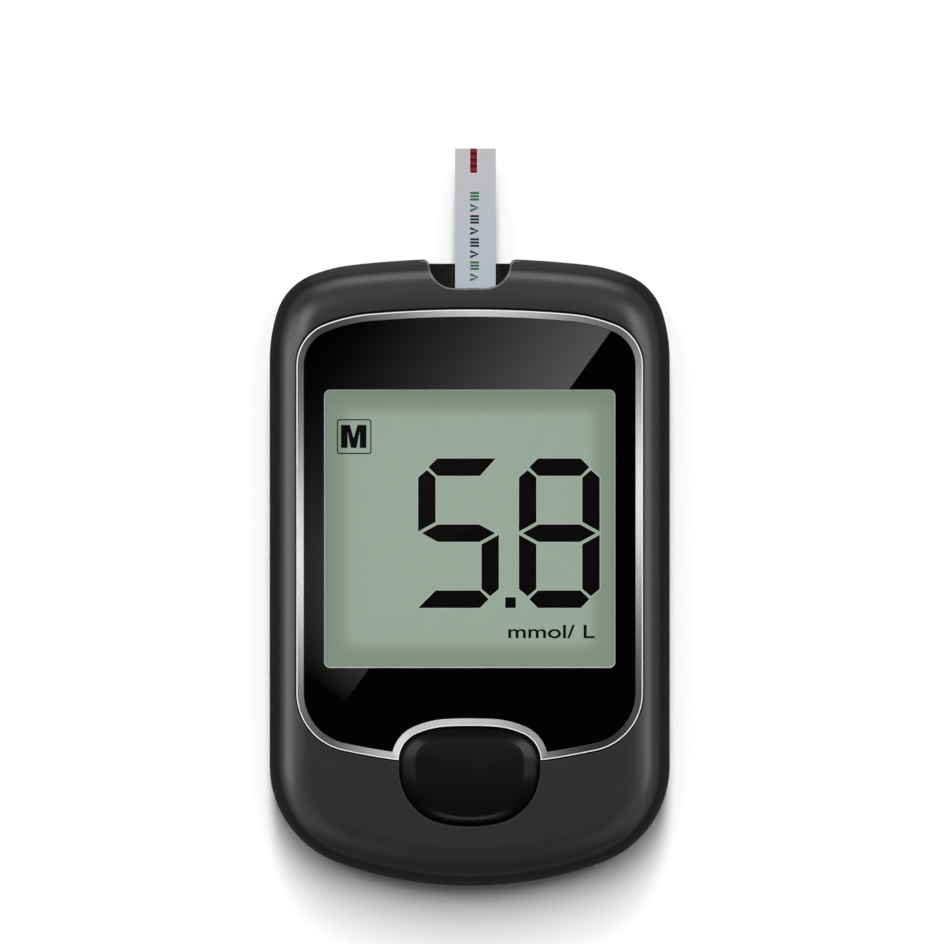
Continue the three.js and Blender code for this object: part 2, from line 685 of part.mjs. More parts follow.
function batteryDoor() {
  const half = doorwayHalfWidth - DOOR_GAP;
  const topEdge = doorwayTop - DOOR_GAP;
  const panel = join(
    plate(
      roundedRectangle(-half, half, hingeY, topEdge, DOOR_CORNER_RADIUS - DOOR_GAP),
      DOOR_RECESS,
      doorInside,
    ),
    block(-half, half, hingeY, cellMiddle, DOOR_RECESS, doorInside),
  );
  const roll = new THREE.CylinderGeometry(hingeRadius, hingeRadius, 2 * half, ROUND_SEGMENTS);
  const hingeRoll = solidOf(roll.rotateZ(QUARTER_TURN).translate(0, hingeY, hingeZ));
  const padTop = cellUnderside - CLEARANCE;
  const padRing = cut(
    cylinder(PAD_RING_RADIUS, doorInside - JOIN_OVERLAP, padTop, 0, cellMiddle),
    cylinder(PAD_RING_RADIUS - PAD_RING_WALL, doorInside, padTop + CUT_OVERRUN, 0, cellMiddle),
  );
  const fingerBack = doorwayTop - DOOR_RIM_REACH - CLEARANCE;
  const finger = block(
    -FINGER_WIDTH / 2,
    FINGER_WIDTH / 2,
    fingerBack - FINGER_THICKNESS,
    fingerBack,
    doorInside - JOIN_OVERLAP,
    doorInside + FINGER_HEIGHT,
  );
  const grooves = Array.from({ length: GRIP_COUNT }, (_, i) => {
    const far = topEdge - GRIP_PITCH * (i + 1);
    const groove = roundedRectangle(-GRIP_LENGTH / 2, GRIP_LENGTH / 2, far - GRIP_WIDTH, far, GRIP_WIDTH / 2);
    return plate(groove, 0, DOOR_RECESS + GRIP_DEPTH);
  });
  return cut(join(panel, hingeRoll, padRing, finger), ...grooves);
}

// Bezel ring, lens and its adhesive frame share one region: the panel less the arch over the button

function panelRegion(inset, low, high) {
  const over = CUT_OVERRUN;
  return cut(
    formPlate(PANEL_FORM, inset, low, high),
    formPlate(BUTTON_FORM, -BUTTON_GAP - inset, low - over, high + over),
  );
}

function bezelRing() {
  const high = panelFace + RING_PROUD;
  return cut(
    panelRegion(0, pocketFloor, high),
    panelRegion(RING_BAND, pocketFloor - CUT_OVERRUN, high + CUT_OVERRUN),
  );
}

const displayLens = () => panelRegion(RING_BAND + SLIP_FIT, lensUnderside, panelFace);

function lensAdhesive() {
  return cut(
    panelRegion(RING_BAND + SLIP_FIT + ADHESIVE_SETBACK, pocketFloor, lensUnderside),
    plate(windowPoints(WINDOW_MARGIN), glassTop, crest),
  );
}

// Display: a front glass with a contact ledge, a shorter rear glass, a film, a holder and the contact elastomer

const displayBlock = (frontEdge, low, high) =>
  block(-glassHalfWidth, glassHalfWidth, frontEdge, glassTopEdge, low, high);

function displayHolder() {
  const outer = glassHalfWidth + CLEARANCE + HOLDER_WALL;
  const pocket = glassHalfWidth + CLEARANCE;
  const shelf = glassHalfWidth - HOLDER_SHELF;
  const low = boardTop - CUT_OVERRUN;
  const high = collarUnderside + CUT_OVERRUN;
  return cut(
    block(-outer, outer, glassBottomEdge - CLEARANCE - HOLDER_WALL, holderTopEdge, boardTop, collarUnderside),
    block(-pocket, pocket, glassBottomEdge - CLEARANCE, glassTopEdge + CLEARANCE, filmUnderside, high),
    block(-shelf, shelf, rearGlassBottomEdge + HOLDER_SHELF, glassTopEdge - HOLDER_SHELF, low, high),
    block(-shelf, shelf, glassBottomEdge, rearGlassBottomEdge - CLEARANCE, low, high),
  );
}

function contactElastomer() {
  const middle = (glassBottomEdge + rearGlassBottomEdge - CLEARANCE) / 2;
  const half = glassHalfWidth - HOLDER_SHELF - CLEARANCE;
  return block(-half, half, middle - ELASTOMER_WIDTH / 2, middle + ELASTOMER_WIDTH / 2, boardTop, glassSeam);
}

// Button: a crowned cap through the cover with a retaining flange under the collar and a post on the switch

function mainButton() {
  const face = crest + BUTTON_PROUD;
  const cap = loftOf(BUTTON_FORM, [
    { inset: 0, z: flangeUnderside },
    ...rollLevels(0, face - BUTTON_ROLL_HEIGHT, BUTTON_ROLL_WIDTH, face),
  ]);
  return join(
    cap,
    formPlate(BUTTON_FORM, -FLANGE_REACH, flangeUnderside, flangeTop),
    cylinder(POST_RADIUS, plungerTop, flangeUnderside + JOIN_OVERLAP, 0, buttonMiddle),
  );
}

function tactSwitchBody() {
  const half = SWITCH_SIDE / 2;
  return cut(
    block(-half, half, buttonMiddle - half, buttonMiddle + half, boardTop, switchTop),
    cylinder(PLUNGER_RADIUS + CLEARANCE, boardTop + SWITCH_FLOOR, switchTop + CUT_OVERRUN, 0, buttonMiddle),
  );
}

const switchPlunger = () =>
  cylinder(PLUNGER_RADIUS, boardTop + SWITCH_FLOOR + BUTTON_TRAVEL + SLIP_FIT, plungerTop, 0, buttonMiddle);

// Circuit board with holes for the screws, and the chips on its underside

function mainBoard() {
  const inset = lipOutside + LIP_THICKNESS + BOARD_CLEARANCE;
  const hole = ({ x, y }) =>
    cylinder(SCREW_RADIUS + SCREW_CLEARANCE, boardUnderside - CUT_OVERRUN, boardTop + CUT_OVERRUN, x, y);
  return cut(
    formPlate(HOUSING_FORM, inset, boardUnderside, boardTop),
    block(
      -HOUSING_WIDTH,
      HOUSING_WIDTH,
      boardTopEdge,
      housingTop,
      boardUnderside - CUT_OVERRUN,
      boardTop + CUT_OVERRUN,
    ),
    ...bossPlaces.map(hole),
  );
}

function chip(x, y, width, length, height) {
  const outline = roundedRectangle(
    x - width / 2,
    x + width / 2,
    y - length / 2,
    y + length / 2,
    CHIP_CORNER_RADIUS,
  );
  return plate(outline, boardUnderside - height, boardUnderside);
}

const chipRow = cellMiddle + cupRadius + CHIP_SPACING + CONTROLLER_SIDE;
const microcontrollerChip = () =>
  chip(-CONTROLLER_OFFSET, chipRow, CONTROLLER_SIDE, CONTROLLER_SIDE, CONTROLLER_HEIGHT);
const memoryChip = () => chip(MEMORY_OFFSET, chipRow, MEMORY_LENGTH, MEMORY_WIDTH, MEMORY_HEIGHT);
const analogueFrontEndChip = () =>
  chip(PORT_OFFSET, chipRow + FRONT_END_ROW_PITCH, FRONT_END_SIDE, FRONT_END_SIDE, FRONT_END_HEIGHT);

function quartzCrystal() {
  const half = CRYSTAL_WIDTH / 2;
  const x = -CONTROLLER_OFFSET;
  const y = chipRow + CONTROLLER_SIDE / 2 + CHIP_SPACING;
  const outline = roundedRectangle(x - CRYSTAL_LENGTH / 2, x + CRYSTAL_LENGTH / 2, y - half, y + half, half);
  return plate(outline, boardUnderside - CRYSTAL_HEIGHT, boardUnderside);
}

// Strip port guide: the insert behind the scoop, with a groove in which the strip lies

function stripPortGuide() {
  const half = GUIDE_WIDTH / 2;
  const grooveHalf = STRIP_WIDTH / 2 + STRIP_SIDE_CLEARANCE;
  return cut(
    block(-half, half, guideBack, guideFace, GUIDE_SEAT_HEIGHT, guideTop),
    block(
      PORT_OFFSET - grooveHalf,
      PORT_OFFSET + grooveHalf,
      guideBack - CUT_OVERRUN,
      housingTop,
      grooveFloor,
      guideTop + CUT_OVERRUN,
    ),
  );
}

// Test strip: a base, a film over all of it but the contact end, and the sample chamber at the tip

const stripBlock = (half, front, back, low, high, offset = 0) =>
  block(PORT_OFFSET - offset - half, PORT_OFFSET - offset + half, front, back, low, high);

const stripBase = () => stripBlock(STRIP_WIDTH / 2, stripInnerEnd, stripTip, stripUnderside, stripBaseTop);

function stripFilm() {
  const chamberHalf = CHAMBER_WIDTH / 2 + CHAMBER_FIT;
  return cut(
    stripBlock(STRIP_WIDTH / 2, connectorFront, stripTip, stripBaseTop, stripTop),
    stripBlock(
      chamberHalf,
      stripTip - CHAMBER_LENGTH - CHAMBER_FIT,
      stripTip + CUT_OVERRUN,
      stripBaseTop - CUT_OVERRUN,
      stripTop + CUT_OVERRUN,
      CHAMBER_OFFSET,
    ),
  );
}

const sampleChamber = () =>
  stripBlock(CHAMBER_WIDTH / 2, stripTip - CHAMBER_LENGTH, stripTip, stripBaseTop, stripTop, CHAMBER_OFFSET);

// Strip connector: a body with a slot for the strip and an open trough for its spring contacts

function stripConnectorBody() {
  const slotHalf = STRIP_WIDTH / 2 + STRIP_SIDE_CLEARANCE;
  const outerHalf = slotHalf + CONNECTOR_WALL;
  const troughHalf = ((CONTACT_COUNT - 1) * CONTACT_PITCH + CONTACT_WIDTH) / 2 + CLEARANCE;
  const high = boardTop + CONNECTOR_HEIGHT;
  const slotTop = stripTop + STRIP_CLEARANCE;
  return cut(
    stripBlock(outerHalf, connectorBack, connectorFront, boardTop, high),
    stripBlock(slotHalf, stripInnerEnd - STRIP_CLEARANCE, connectorFront + CUT_OVERRUN, grooveFloor, slotTop),
    stripBlock(
      troughHalf,
      connectorBack - CUT_OVERRUN,
      connectorBack + CONNECTOR_TROUGH_LENGTH,
      slotTop,
      high + CUT_OVERRUN,
    ),
  );
}

function stripContact(index) {
  const x = PORT_OFFSET + (index - (CONTACT_COUNT - 1) / 2) * CONTACT_PITCH;
  const half = CONTACT_THICKNESS / 2;
  const tailY = connectorBack - CLEARANCE / 2 - half;
  const beamZ = boardTop + CONNECTOR_HEIGHT - CLEARANCE - half;
  const tipZ = stripTop + STRIP_CLEARANCE + half;
  const [bendY, touchY, leaveY, endY] = STRIP_CONTACT_SHARES.map(
    (share) => connectorBack + CONNECTOR_TROUGH_LENGTH * share,
  );
  const line = [
    [tailY, boardTop],
    [tailY, beamZ],
    [bendY, beamZ],
    [touchY, tipZ],
    [leaveY, tipZ],
    [endY, tipZ + CONTACT_TIP_RISE],
  ].map(([y, z]) => new THREE.Vector2(y, z));
  return leaf(line, CONTACT_THICKNESS, CONTACT_WIDTH, x);
}

// Coin cell, its holder under the board and its two contacts

function coinCell() {
  const capRadius = CELL_RADIUS - CELL_CAP_STEP;
  const shoulder = CELL_THICKNESS - CELL_CAP_HEIGHT;
  const profile = [
    [0, 0],
    [CELL_RADIUS - CELL_CHAMFER, 0],
    [CELL_RADIUS, CELL_CHAMFER],
    [CELL_RADIUS, shoulder],
    [capRadius, shoulder],
    [capRadius, CELL_THICKNESS],
    [0, CELL_THICKNESS],
  ].map(([radius, height]) => new THREE.Vector2(radius, height));
  const geometry = new THREE.LatheGeometry(profile, CELL_SEGMENTS);
  return solidOf(geometry.rotateX(QUARTER_TURN).translate(0, cellMiddle, cellUnderside));
}

function batteryHolder() {
  return cut(
    cylinder(cupRadius, cupMouth, boardUnderside, 0, cellMiddle, CELL_SEGMENTS),
    cylinder(cupBore, cupMouth - CUT_OVERRUN, cupCeiling, 0, cellMiddle, CELL_SEGMENTS),
  );
}

function negativeContact() {
  const half = LEAF_THICKNESS / 2;
  const roofZ = cupCeiling - half;
  const lowZ = cellTop + half;
  const [bendY, touchY, leaveY, endY] = CELL_SPRING_SHARES.map((share) => cellMiddle + CELL_RADIUS * share);
  const line = [
    [cellMiddle - CELL_RADIUS / 2, roofZ],
    [bendY, roofZ],
    [touchY, lowZ],
    [leaveY, lowZ],
    [endY, (roofZ + lowZ) / 2],
  ].map(([y, z]) => new THREE.Vector2(y, z));
  return leaf(line, LEAF_THICKNESS, CELL_SPRING_WIDTH, 0);
}

function positiveContact() {
  const half = LEAF_THICKNESS / 2;
  const y = cellMiddle + Math.sqrt(cupBore ** 2 - (CLIP_WIDTH / 2) ** 2) - SLIP_FIT - half;
  const line = [
    [cellMiddle + CELL_RADIUS - CELL_CAP_STEP, cupCeiling - half],
    [y, cupCeiling - half],
    [y, cellUnderside + CELL_CHAMFER],
  ].map(([alongY, z]) => new THREE.Vector2(alongY, z));
  return leaf(line, LEAF_THICKNESS, CLIP_WIDTH, 0);
}

// Screw with a cross recess, its head towards the back

function housingScrew({ x, y }) {
  const headLow = SCREW_SEAT_HEIGHT - SCREW_HEAD_HEIGHT;
  const slotTop = headLow + SCREW_SLOT_DEPTH;
  const long = SCREW_HEAD_RADIUS - SCREW_SLOT_WIDTH;
  const wide = SCREW_SLOT_WIDTH / 2;
  return cut(
    join(
      cylinder(SCREW_HEAD_RADIUS, headLow, SCREW_SEAT_HEIGHT, x, y),
      cylinder(SCREW_RADIUS, headLow + SCREW_SLOT_DEPTH, boardTop + SCREW_ENGAGEMENT, x, y),
    ),
    block(x - long, x + long, y - wide, y + wide, headLow - CUT_OVERRUN, slotTop),
    block(x - wide, x + wide, y - long, y + long, headLow - CUT_OVERRUN, slotTop),
  );
}

// Assembly

function meshOf(name, solid, material) {
  const mesh = new THREE.Mesh(geometryOf(solid), material);
  mesh.name = name;
  return mesh;
}

function groupOf(...meshes) {
  const group = new THREE.Group();
  group.add(...meshes);
  return group;
}

const housing = groupOf(
  meshOf("front_cover", frontCover(), satinBlack()),
  meshOf("rear_cover", rearCover(), satinBlack()),
  ...bossPlaces.map((place, i) => meshOf(`housing_screw_${i + 1}`, housingScrew(place), steel())),
);

const panel = groupOf(
  meshOf("bezel_ring", bezelRing(), brightSilver()),
  meshOf("display_lens", displayLens(), glossBlack()),
  meshOf("lens_adhesive", lensAdhesive(), innerBlack()),
);

const display = groupOf(
  meshOf("lcd_front_glass", displayBlock(glassBottomEdge, glassSeam, glassTop), clearGlass()),
  meshOf("lcd_rear_glass", displayBlock(rearGlassBottomEdge, rearGlassUnderside, glassSeam), displayGreen()),
  meshOf("lcd_reflector_film", displayBlock(rearGlassBottomEdge, filmUnderside, rearGlassUnderside), displayGreen()),
  meshOf("lcd_holder", displayHolder(), whitePlastic()),
  meshOf("lcd_contact_elastomer", contactElastomer(), innerBlack()),
);

const electronics = groupOf(
  meshOf("main_board", mainBoard(), boardGreen()),
  meshOf("microcontroller_chip", microcontrollerChip(), innerBlack()),
  meshOf("memory_chip", memoryChip(), innerBlack()),
  meshOf("analogue_front_end_chip", analogueFrontEndChip(), innerBlack()),
  meshOf("quartz_crystal", quartzCrystal(), steel()),
  meshOf("tact_switch_body", tactSwitchBody(), innerBlack()),
);

const button = groupOf(
  meshOf("main_button", mainButton(), satinBlack()),
  meshOf("switch_plunger", switchPlunger(), whitePlastic()),
);

const port = groupOf(
  meshOf("strip_port_guide", stripPortGuide(), glossBlack()),
  meshOf("strip_connector_body", stripConnectorBody(), innerBlack()),
  ...Array.from({ length: CONTACT_COUNT }, (_, i) => meshOf(`strip_contact_${i + 1}`, stripContact(i), gold())),
);

const strip = groupOf(
  meshOf("strip_base", stripBase(), stripGrey()),
  meshOf("strip_film", stripFilm(), stripGrey()),
  meshOf("sample_chamber", sampleChamber(), bloodRed()),
);

const battery = groupOf(
  meshOf("battery_door", batteryDoor(), satinBlack()),
  meshOf("coin_cell", coinCell(), steel()),
  meshOf("battery_holder", batteryHolder(), innerBlack()),
  meshOf("battery_negative_contact", negativeContact(), steel()),
  meshOf("battery_positive_contact", positiveContact(), steel()),
);

const meter = groupOf(housing, panel, display, electronics, button, port, strip, battery);

export default meter;
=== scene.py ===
"""Blood glucose meter, lying on its back, with a test strip in its port. Metres; +Y points to the port."""

import math

import bpy
import numpy as np
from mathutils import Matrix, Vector
from mathutils.geometry import tessellate_polygon


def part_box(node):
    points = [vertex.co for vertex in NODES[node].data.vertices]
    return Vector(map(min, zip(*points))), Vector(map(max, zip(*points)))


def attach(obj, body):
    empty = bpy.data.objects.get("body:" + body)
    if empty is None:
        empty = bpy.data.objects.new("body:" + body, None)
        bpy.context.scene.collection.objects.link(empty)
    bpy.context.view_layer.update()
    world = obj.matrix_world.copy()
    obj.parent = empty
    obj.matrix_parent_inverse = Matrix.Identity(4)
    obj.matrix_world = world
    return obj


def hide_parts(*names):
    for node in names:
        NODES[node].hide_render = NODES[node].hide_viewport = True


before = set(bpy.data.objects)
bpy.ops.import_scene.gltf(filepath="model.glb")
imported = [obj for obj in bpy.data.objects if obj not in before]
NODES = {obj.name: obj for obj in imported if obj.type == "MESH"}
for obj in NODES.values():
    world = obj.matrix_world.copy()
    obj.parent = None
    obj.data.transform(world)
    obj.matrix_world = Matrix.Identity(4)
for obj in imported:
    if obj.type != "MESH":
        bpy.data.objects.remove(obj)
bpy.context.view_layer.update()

MM = 0.001
QUARTER = math.pi / 2

# Photograph: its side, the real size of a pixel, and where the middle of the meter is seen
PHOTO_SIDE_PX = 944
PX = 0.14 * MM
MIDDLE_PX = (469.7, 571.4)

# Housing
HOUSING_LOW, HOUSING_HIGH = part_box("rear_cover")
HOUSING_TOP = HOUSING_HIGH.y
HOUSING_BOTTOM = HOUSING_LOW.y
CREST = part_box("front_cover")[1].z
PARTING_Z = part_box("front_cover")[0].z
FRONT_ROLL = 6 * MM
BACK_ROLL_WIDTH = 4.2 * MM
BACK_ROLL_HEIGHT = 5 * MM
ROLL_ROUNDNESS_SHARE = 0.91
WALL = 1.6 * MM
PARTING_CHAMFER = 0.12 * MM

# Panel, ring, lens and window
RING_LOW, RING_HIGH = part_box("bezel_ring")
PANEL_TOP = RING_HIGH.y
PANEL_HALF_WIDTH = RING_HIGH.x
PANEL_BOTTOM = HOUSING_BOTTOM + 16.7 * MM
PANEL_TOP_ARCS = ((23 * MM, 6.2 * MM), (0.054, 0.183, 0.763))
PANEL_BOTTOM_ARCS = (PANEL_BOTTOM + 0.35 * MM, (120 * MM, 8.3 * MM), (0.115, 0.02, 0.865))
TRIM_WIDER = 0.05 * MM
TRIM_LOWER = 0.1 * MM
RING_SECTION = (
    # across the ring's top from its outer wall to its inner one: inset and drop in mm
    (0.05, 0.1), (0.07, 0.02), (0.21, 0), (0.24, 0.06), (0.3, 0.06), (0.34, 0.01), (1, 0), (1.05, 0.04),
)
# levels of the ring's section whose faces carry the painted highlight of its outer edge
RING_HIGHLIGHT_LEVELS = (1, 2)
RING_OUTER, RING_INNER = RING_SECTION[0][0] * MM, RING_SECTION[-1][0] * MM
LENS_LOW, LENS_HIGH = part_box("display_lens")
LENS_GAP = 0.04 * MM
LENS_BEVEL = 0.03 * MM
POCKET_FIT = 0.15 * MM
PANEL_FLOOR_GAP = 0.01 * MM
PANEL_FLOOR_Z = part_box("lens_adhesive")[0].z
COLLAR_LOW = PANEL_FLOOR_Z - 1.2 * MM
WINDOW_LOW = Vector((3.85 * MM - PANEL_HALF_WIDTH, PANEL_BOTTOM + 13.9 * MM))
WINDOW_HIGH = Vector((PANEL_HALF_WIDTH - 3.85 * MM, PANEL_TOP - 11.3 * MM))
WINDOW_CORNER = 0.85 * MM
WINDOW_MARGIN = 0.7 * MM
# the thin rim round the window, coloured pale as a painted highlight
WINDOW_LINE = 0.13 * MM
WINDOW_LINE_DEPTH = 0.7 * MM
WINDOW_LINE_OUTER, WINDOW_LINE_INNER = 0.1 * MM, 0.05 * MM
PANE_GAP = 0.02 * MM
PANE_DEPTH = 0.5 * MM
PANE_DROP = 0.01 * MM

# Button: its table is the inner edge of its rolled rim
BUTTON_GAP = 0.25 * MM
BUTTON_HALF_WIDTH = 9.6 * MM
BUTTON_TOP = PANEL_BOTTOM + 5.53 * MM
BUTTON_BOTTOM = BUTTON_TOP - 13.51 * MM
BUTTON_FOOT, BUTTON_FACE = (corner.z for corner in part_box("main_button"))
BUTTON_TOP_SHARES = (0.03, 0.228, 0.742)
BUTTON_BOTTOM_SHARES = (0.131, 0.869)
BUTTON_ROLL_SIDE = 2.1 * MM
BUTTON_ROLL_TOP = 1.35 * MM
BUTTON_ROLL_BOTTOM = 1.1 * MM
BUTTON_ROLL_HEIGHT = 0.8 * MM
BUTTON_ROLL_POWER = 1.1
BUTTON_CROWN = 0.3 * MM
BUTTON_CROWN_SHARES = (0.9, 0.75, 0.6, 0.45, 0.3, 0.15)
POST_LENGTH = 0.5 * MM
FLANGE_THICKNESS = 1 * MM
FLANGE_REACH = 0.9 * MM

# Scoop and strip
SCOOP_FLOOR = HOUSING_TOP - 4.25 * MM
SCOOP_MOUTH_HALF = 7 * MM
SCOOP_FLOOR_HALF = 2 * MM
SCOOP_NECK_WIDTH_SHARE = 0.79
SCOOP_NECK_DEPTH_SHARE = 0.36
SCOOP_HEEL_WIDTH_SHARE = 0.66
SCOOP_EDGE_FOOT = 13.3 * MM
RIM_SPACING = 0.04 * MM
MOUTH_SOFTNESS = 1.4 * MM
MOUTH_REACH = 2.5 * MM
STRIP_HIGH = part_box("strip_film")[1]
SLOT_CLEARANCE = 0.3 * MM

# Front cover's fine edges, and the point of its outline that faces the cusp between panel and button
EDGE_RADIUS = 0.3 * MM
EDGE_FADE = 1.2 * MM
POCKET_EDGE_RADIUS = 0.06 * MM
EDGE_STEPS = 6
WALL_SHARES = (0.4, 0.8)
EDGE_START = 2 + len(WALL_SHARES)
COLLAR_WIDTH = 0.9 * MM
POCKET_COLLAR_WIDTH = 0.4 * MM
CUSP_MATCH = np.array([18.5, -40.5]) * MM

# Rear cover: the battery doorway with its rim, the screw recesses and the port's seat
BACK_GAP = 0.3 * MM
DOOR_CORNER = 2.5 * MM
DOOR_LAND = 1.5 * MM
DOOR_LEDGE = 1.2 * MM
DOOR_HINGE_LEDGE = 0.1 * MM
RIM_LOW, RIM_HIGH = WALL - 0.5 * MM, WALL + 1 * MM
CUT_EXTRA = 1 * MM

# Display contents
DISPLAY_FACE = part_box("lcd_front_glass")[1].z
DIGIT_HEIGHT = 20.9 * MM
DIGIT_WIDTH = 11.3 * MM
DIGIT_STROKE = 2.45 * MM
DIGIT_BASE_PX = 607.7
DIGIT_LEFTS_PX = (418.2, 518.8)
SEGMENT_GAP = 0.42 * MM
MIDDLE_BAR_INSET = 0.5 * MM
MIDDLE_BAR_TIP = 2.25 * MM
OPEN_BAR_INSET = 0.45 * MM
SIDE_GAP_MIDDLE, SIDE_GAP_END = 1.6, 1.9
POINT_LEFT_PX = 505.1
POINT_SIDE = 1.5 * MM
HALO = 0.13 * MM
HALO_THICKNESS = 0.01 * MM
SEGMENT_THICKNESS = 0.03 * MM
MARK_FRAME_PX = ((337.2, 454.0), (371.6, 419.3))
MARK_LINE = 0.16 * MM
MARK_CORNER = 0.35 * MM
MARK_LETTER_PX = ((341.2, 448.0), (366.6, 425.0))
MARK_LETTER_SHARES = (
    (0, 0), (0, 1), (0.35, 1), (0.5, 0.42), (0.65, 1), (1, 1), (1, 0), (0.74, 0),
    (0.74, 0.72), (0.61, 0), (0.39, 0), (0.26, 0.72), (0.26, 0),
)
UNIT_START_PX = (508.2, 637.6)
UNIT_END_PX = 594.5
UNIT_HEIGHT = 13.2 * PX
UNIT_BOLDER = 0.01

# Strip's print: generic bars and chevrons, green at both ends and dark between
PRINT_MIDDLE_PX = 474.6
PRINT_TOP_PX = 192
PRINT_HALF_WIDTH = 0.62 * MM
PRINT_LINE = 0.3 * MM
CHEVRON_LINE = 0.39 * MM
PRINT_MARK_LENGTH = 1.2 * MM
PRINT_PITCH = 1.62 * MM
PRINT_MARKS = 8
PRINT_GREEN_MARKS = (0, 1, 6, 7)
PRINT_THICKNESS = 0.01 * MM
CHAMBER_MARGIN = 0.15 * MM
CHAMBER_MARGIN_THICKNESS = 0.005 * MM

# Where print lies: height, body and slot
ON_DISPLAY = (DISPLAY_FACE, "meter_body", "display_glass")
ON_STRIP = (STRIP_HIGH.z, "test_strip", "strip_film")

# Counts
ARC_POINTS = 48
ROLL_STEPS = 20
FIELD_STEPS = 26
COLLAR_STEPS = 5
CORNER_STEPS = 8
BEND_POINTS = 200
DISC_POINTS = 48
RIM_POINTS = 6000
BACK_POINTS = 320
BUTTON_POINTS = 140
BUTTON_COUNT = 70
PANEL_COUNTS = (90, 34, 90, 60)

# The least turn between two steps that still counts, so that parallel steps don't divide by 0
PARALLEL = 1e-18

# Stage
LENS_MM = 400
SENSOR_MM = 36
CLIP_END = 20
FOCUS_Z = 11 * MM
FLOOR_HALF = 4
FLOOR_Z = -0.03 * MM
FLOOR_BOUNCE = 0.35
FILL = 0.12
KEY_LEVEL = 0.94
KEY_ANGLE = 9
KEY_FANS = (
    # azimuth, then elevations with their shares of the light
    (90, ((82, 0.14), (74, 0.18), (66, 0.18), (58, 0.16), (50, 0.16))),
    (140, ((76, 0.05), (68, 0.04))),
    (40, ((76, 0.05), (68, 0.04))),
)
LAMP_DISTANCE = 0.5
GLOSS_LAMPS = (
    # azimuth, elevation, width, height, brightness
    (180, 30, 0.28, 0.26, 4.7),
    (0, 40, 0.28, 0.12, 5.9),
    (90, 16, 0.34, 0.19, 5.2),
    (90, 50, 0.3, 0.3, 0.5),
    (152, 56, 0.16, 0.16, 9.0),
    (28, 58, 0.16, 0.16, 8.0),
    (232, 45, 0.24, 0.26, 1.0),
    (308, 45, 0.24, 0.26, 0.8),
    (214, 16, 0.2, 0.14, 1.9),
    (326, 16, 0.2, 0.14, 1.6),
)
BUTTON_LAMPS = (
    (150, 46, 0.36, 0.26, 2.1),
    (30, 46, 0.36, 0.26, 2.9),
    (270, 26, 0.34, 0.34, 1.05),
    (90, 80, 0.3, 0.16, 0.33),
)
CARD_RISE = 0.4
CARD_LINE_PX = ((610, 332), (339, 710))
CARD_DEPTH_PX = 235
CARD_ENDS_PX = (-120, 480)
CARD_FADE_PX = (345, 455)
CARD_STRENGTH = 2.0
CARD_FALLOFF = 2.0

# Ranges of a spread: its results at both ends, then the ends
TOP_SHINE = (0.02, 0.5, 0.65, 0.86)
PORT_END_SHINE = (0.0, 0.11, 0.88, 0.985)
TOP_ROUGHNESS = (0.62, 0.36, 0.3, 0.72)
# painted shade: how the housing's colour darkens from its top to its steep walls
PAINTED_WALL_SHADE_SPREAD = (0, 1, 0.15, 0.7)
HORIZON_BY_HEIGHT = (1, 0, 0.1, 0.4)
HORIZON_BY_SIDE = (0.05, 1, -0.8, -0.1)
# painted shade on the display's face: how far inside the window's edges it darkens
DISPLAY_PAINTED_SHADE = (0, 1, 1.9 * MM, 4.1 * MM)

# Looks
# painted shade: the colour of the housing's steep walls, darker than its top
PAINTED_WALL_SHADE = 0.006
PORT_END_LEAN = (0, 0.9, 0.44)
# how softly the display's painted shade turns round the window's corners
PAINTED_SHADE_CORNER_BLEND = 2.5 * MM
# The ring's colour carries a painted reflection: a dark base that is painted shade at the panel's corners,
# and pools of painted sheen at the middle of each side and along the button
SILVER_PAINTED_SHADE_BASE = 0.03
SILVER_PAINTED_SHEEN_POOLS = (
    # centre in mm, radius in mm, steepness and level
    ((-24, 1.6), 14.8, 2, 0.62),
    ((24, 10.7), 14.8, 2, 0.62),
    ((2.2, 36.7), 12.2, 2, 0.62),
    ((-3, -26), 13, 3.5, 0.68),
)
BRUSH_REPEATS = 12
BRUSH_STRETCH = (1.2, 900, 1)


# Outlines

class Form:
    """An outline of tangent arcs, symmetric about X = 0: a crown at each end, then its corner arcs."""

    def __init__(self, half_width, top, top_radii, top_shares, bottom, bottom_radii, bottom_shares):
        self.high = quarter_path(half_width, top, top_radii, top_shares)
        self.low = quarter_path(half_width, -bottom, bottom_radii, bottom_shares)
        self.low[:, [1, 3]] *= -1

    def right_half(self, inset=0.0):
        """From the bottom's middle over the right side to the top's middle: x, y and outward normal."""
        path = np.concatenate([self.low, self.high[::-1]])
        path[:, :2] -= inset * path[:, 2:]
        return path

    def points(self, count, inset=0.0):
        """The right half as evenly spaced points."""
        return resample(self.right_half(inset), count)[:, :2]


def quarter_path(half_width, apex, radii, shares):
    headings = np.concatenate([[0.0], np.cumsum(shares)]) * QUARTER
    sine_steps = np.diff(np.sin(headings))
    crown = (half_width - float(np.dot(radii, sine_steps[1:]))) / sine_steps[0]
    rows = [np.array([[0.0, apex, 0.0, 1.0]])]
    for radius, start, end in zip([crown, *radii], headings[:-1], headings[1:]):
        at = rows[-1][-1, :2]
        centre = at - radius * np.array([math.sin(start), math.cos(start)])
        angle = np.linspace(start, end, ARC_POINTS + 1)[1:]
        normal = np.stack([np.sin(angle), np.cos(angle)], 1)
        rows.append(np.hstack([centre + radius * normal, normal]))
    return np.concatenate(rows)


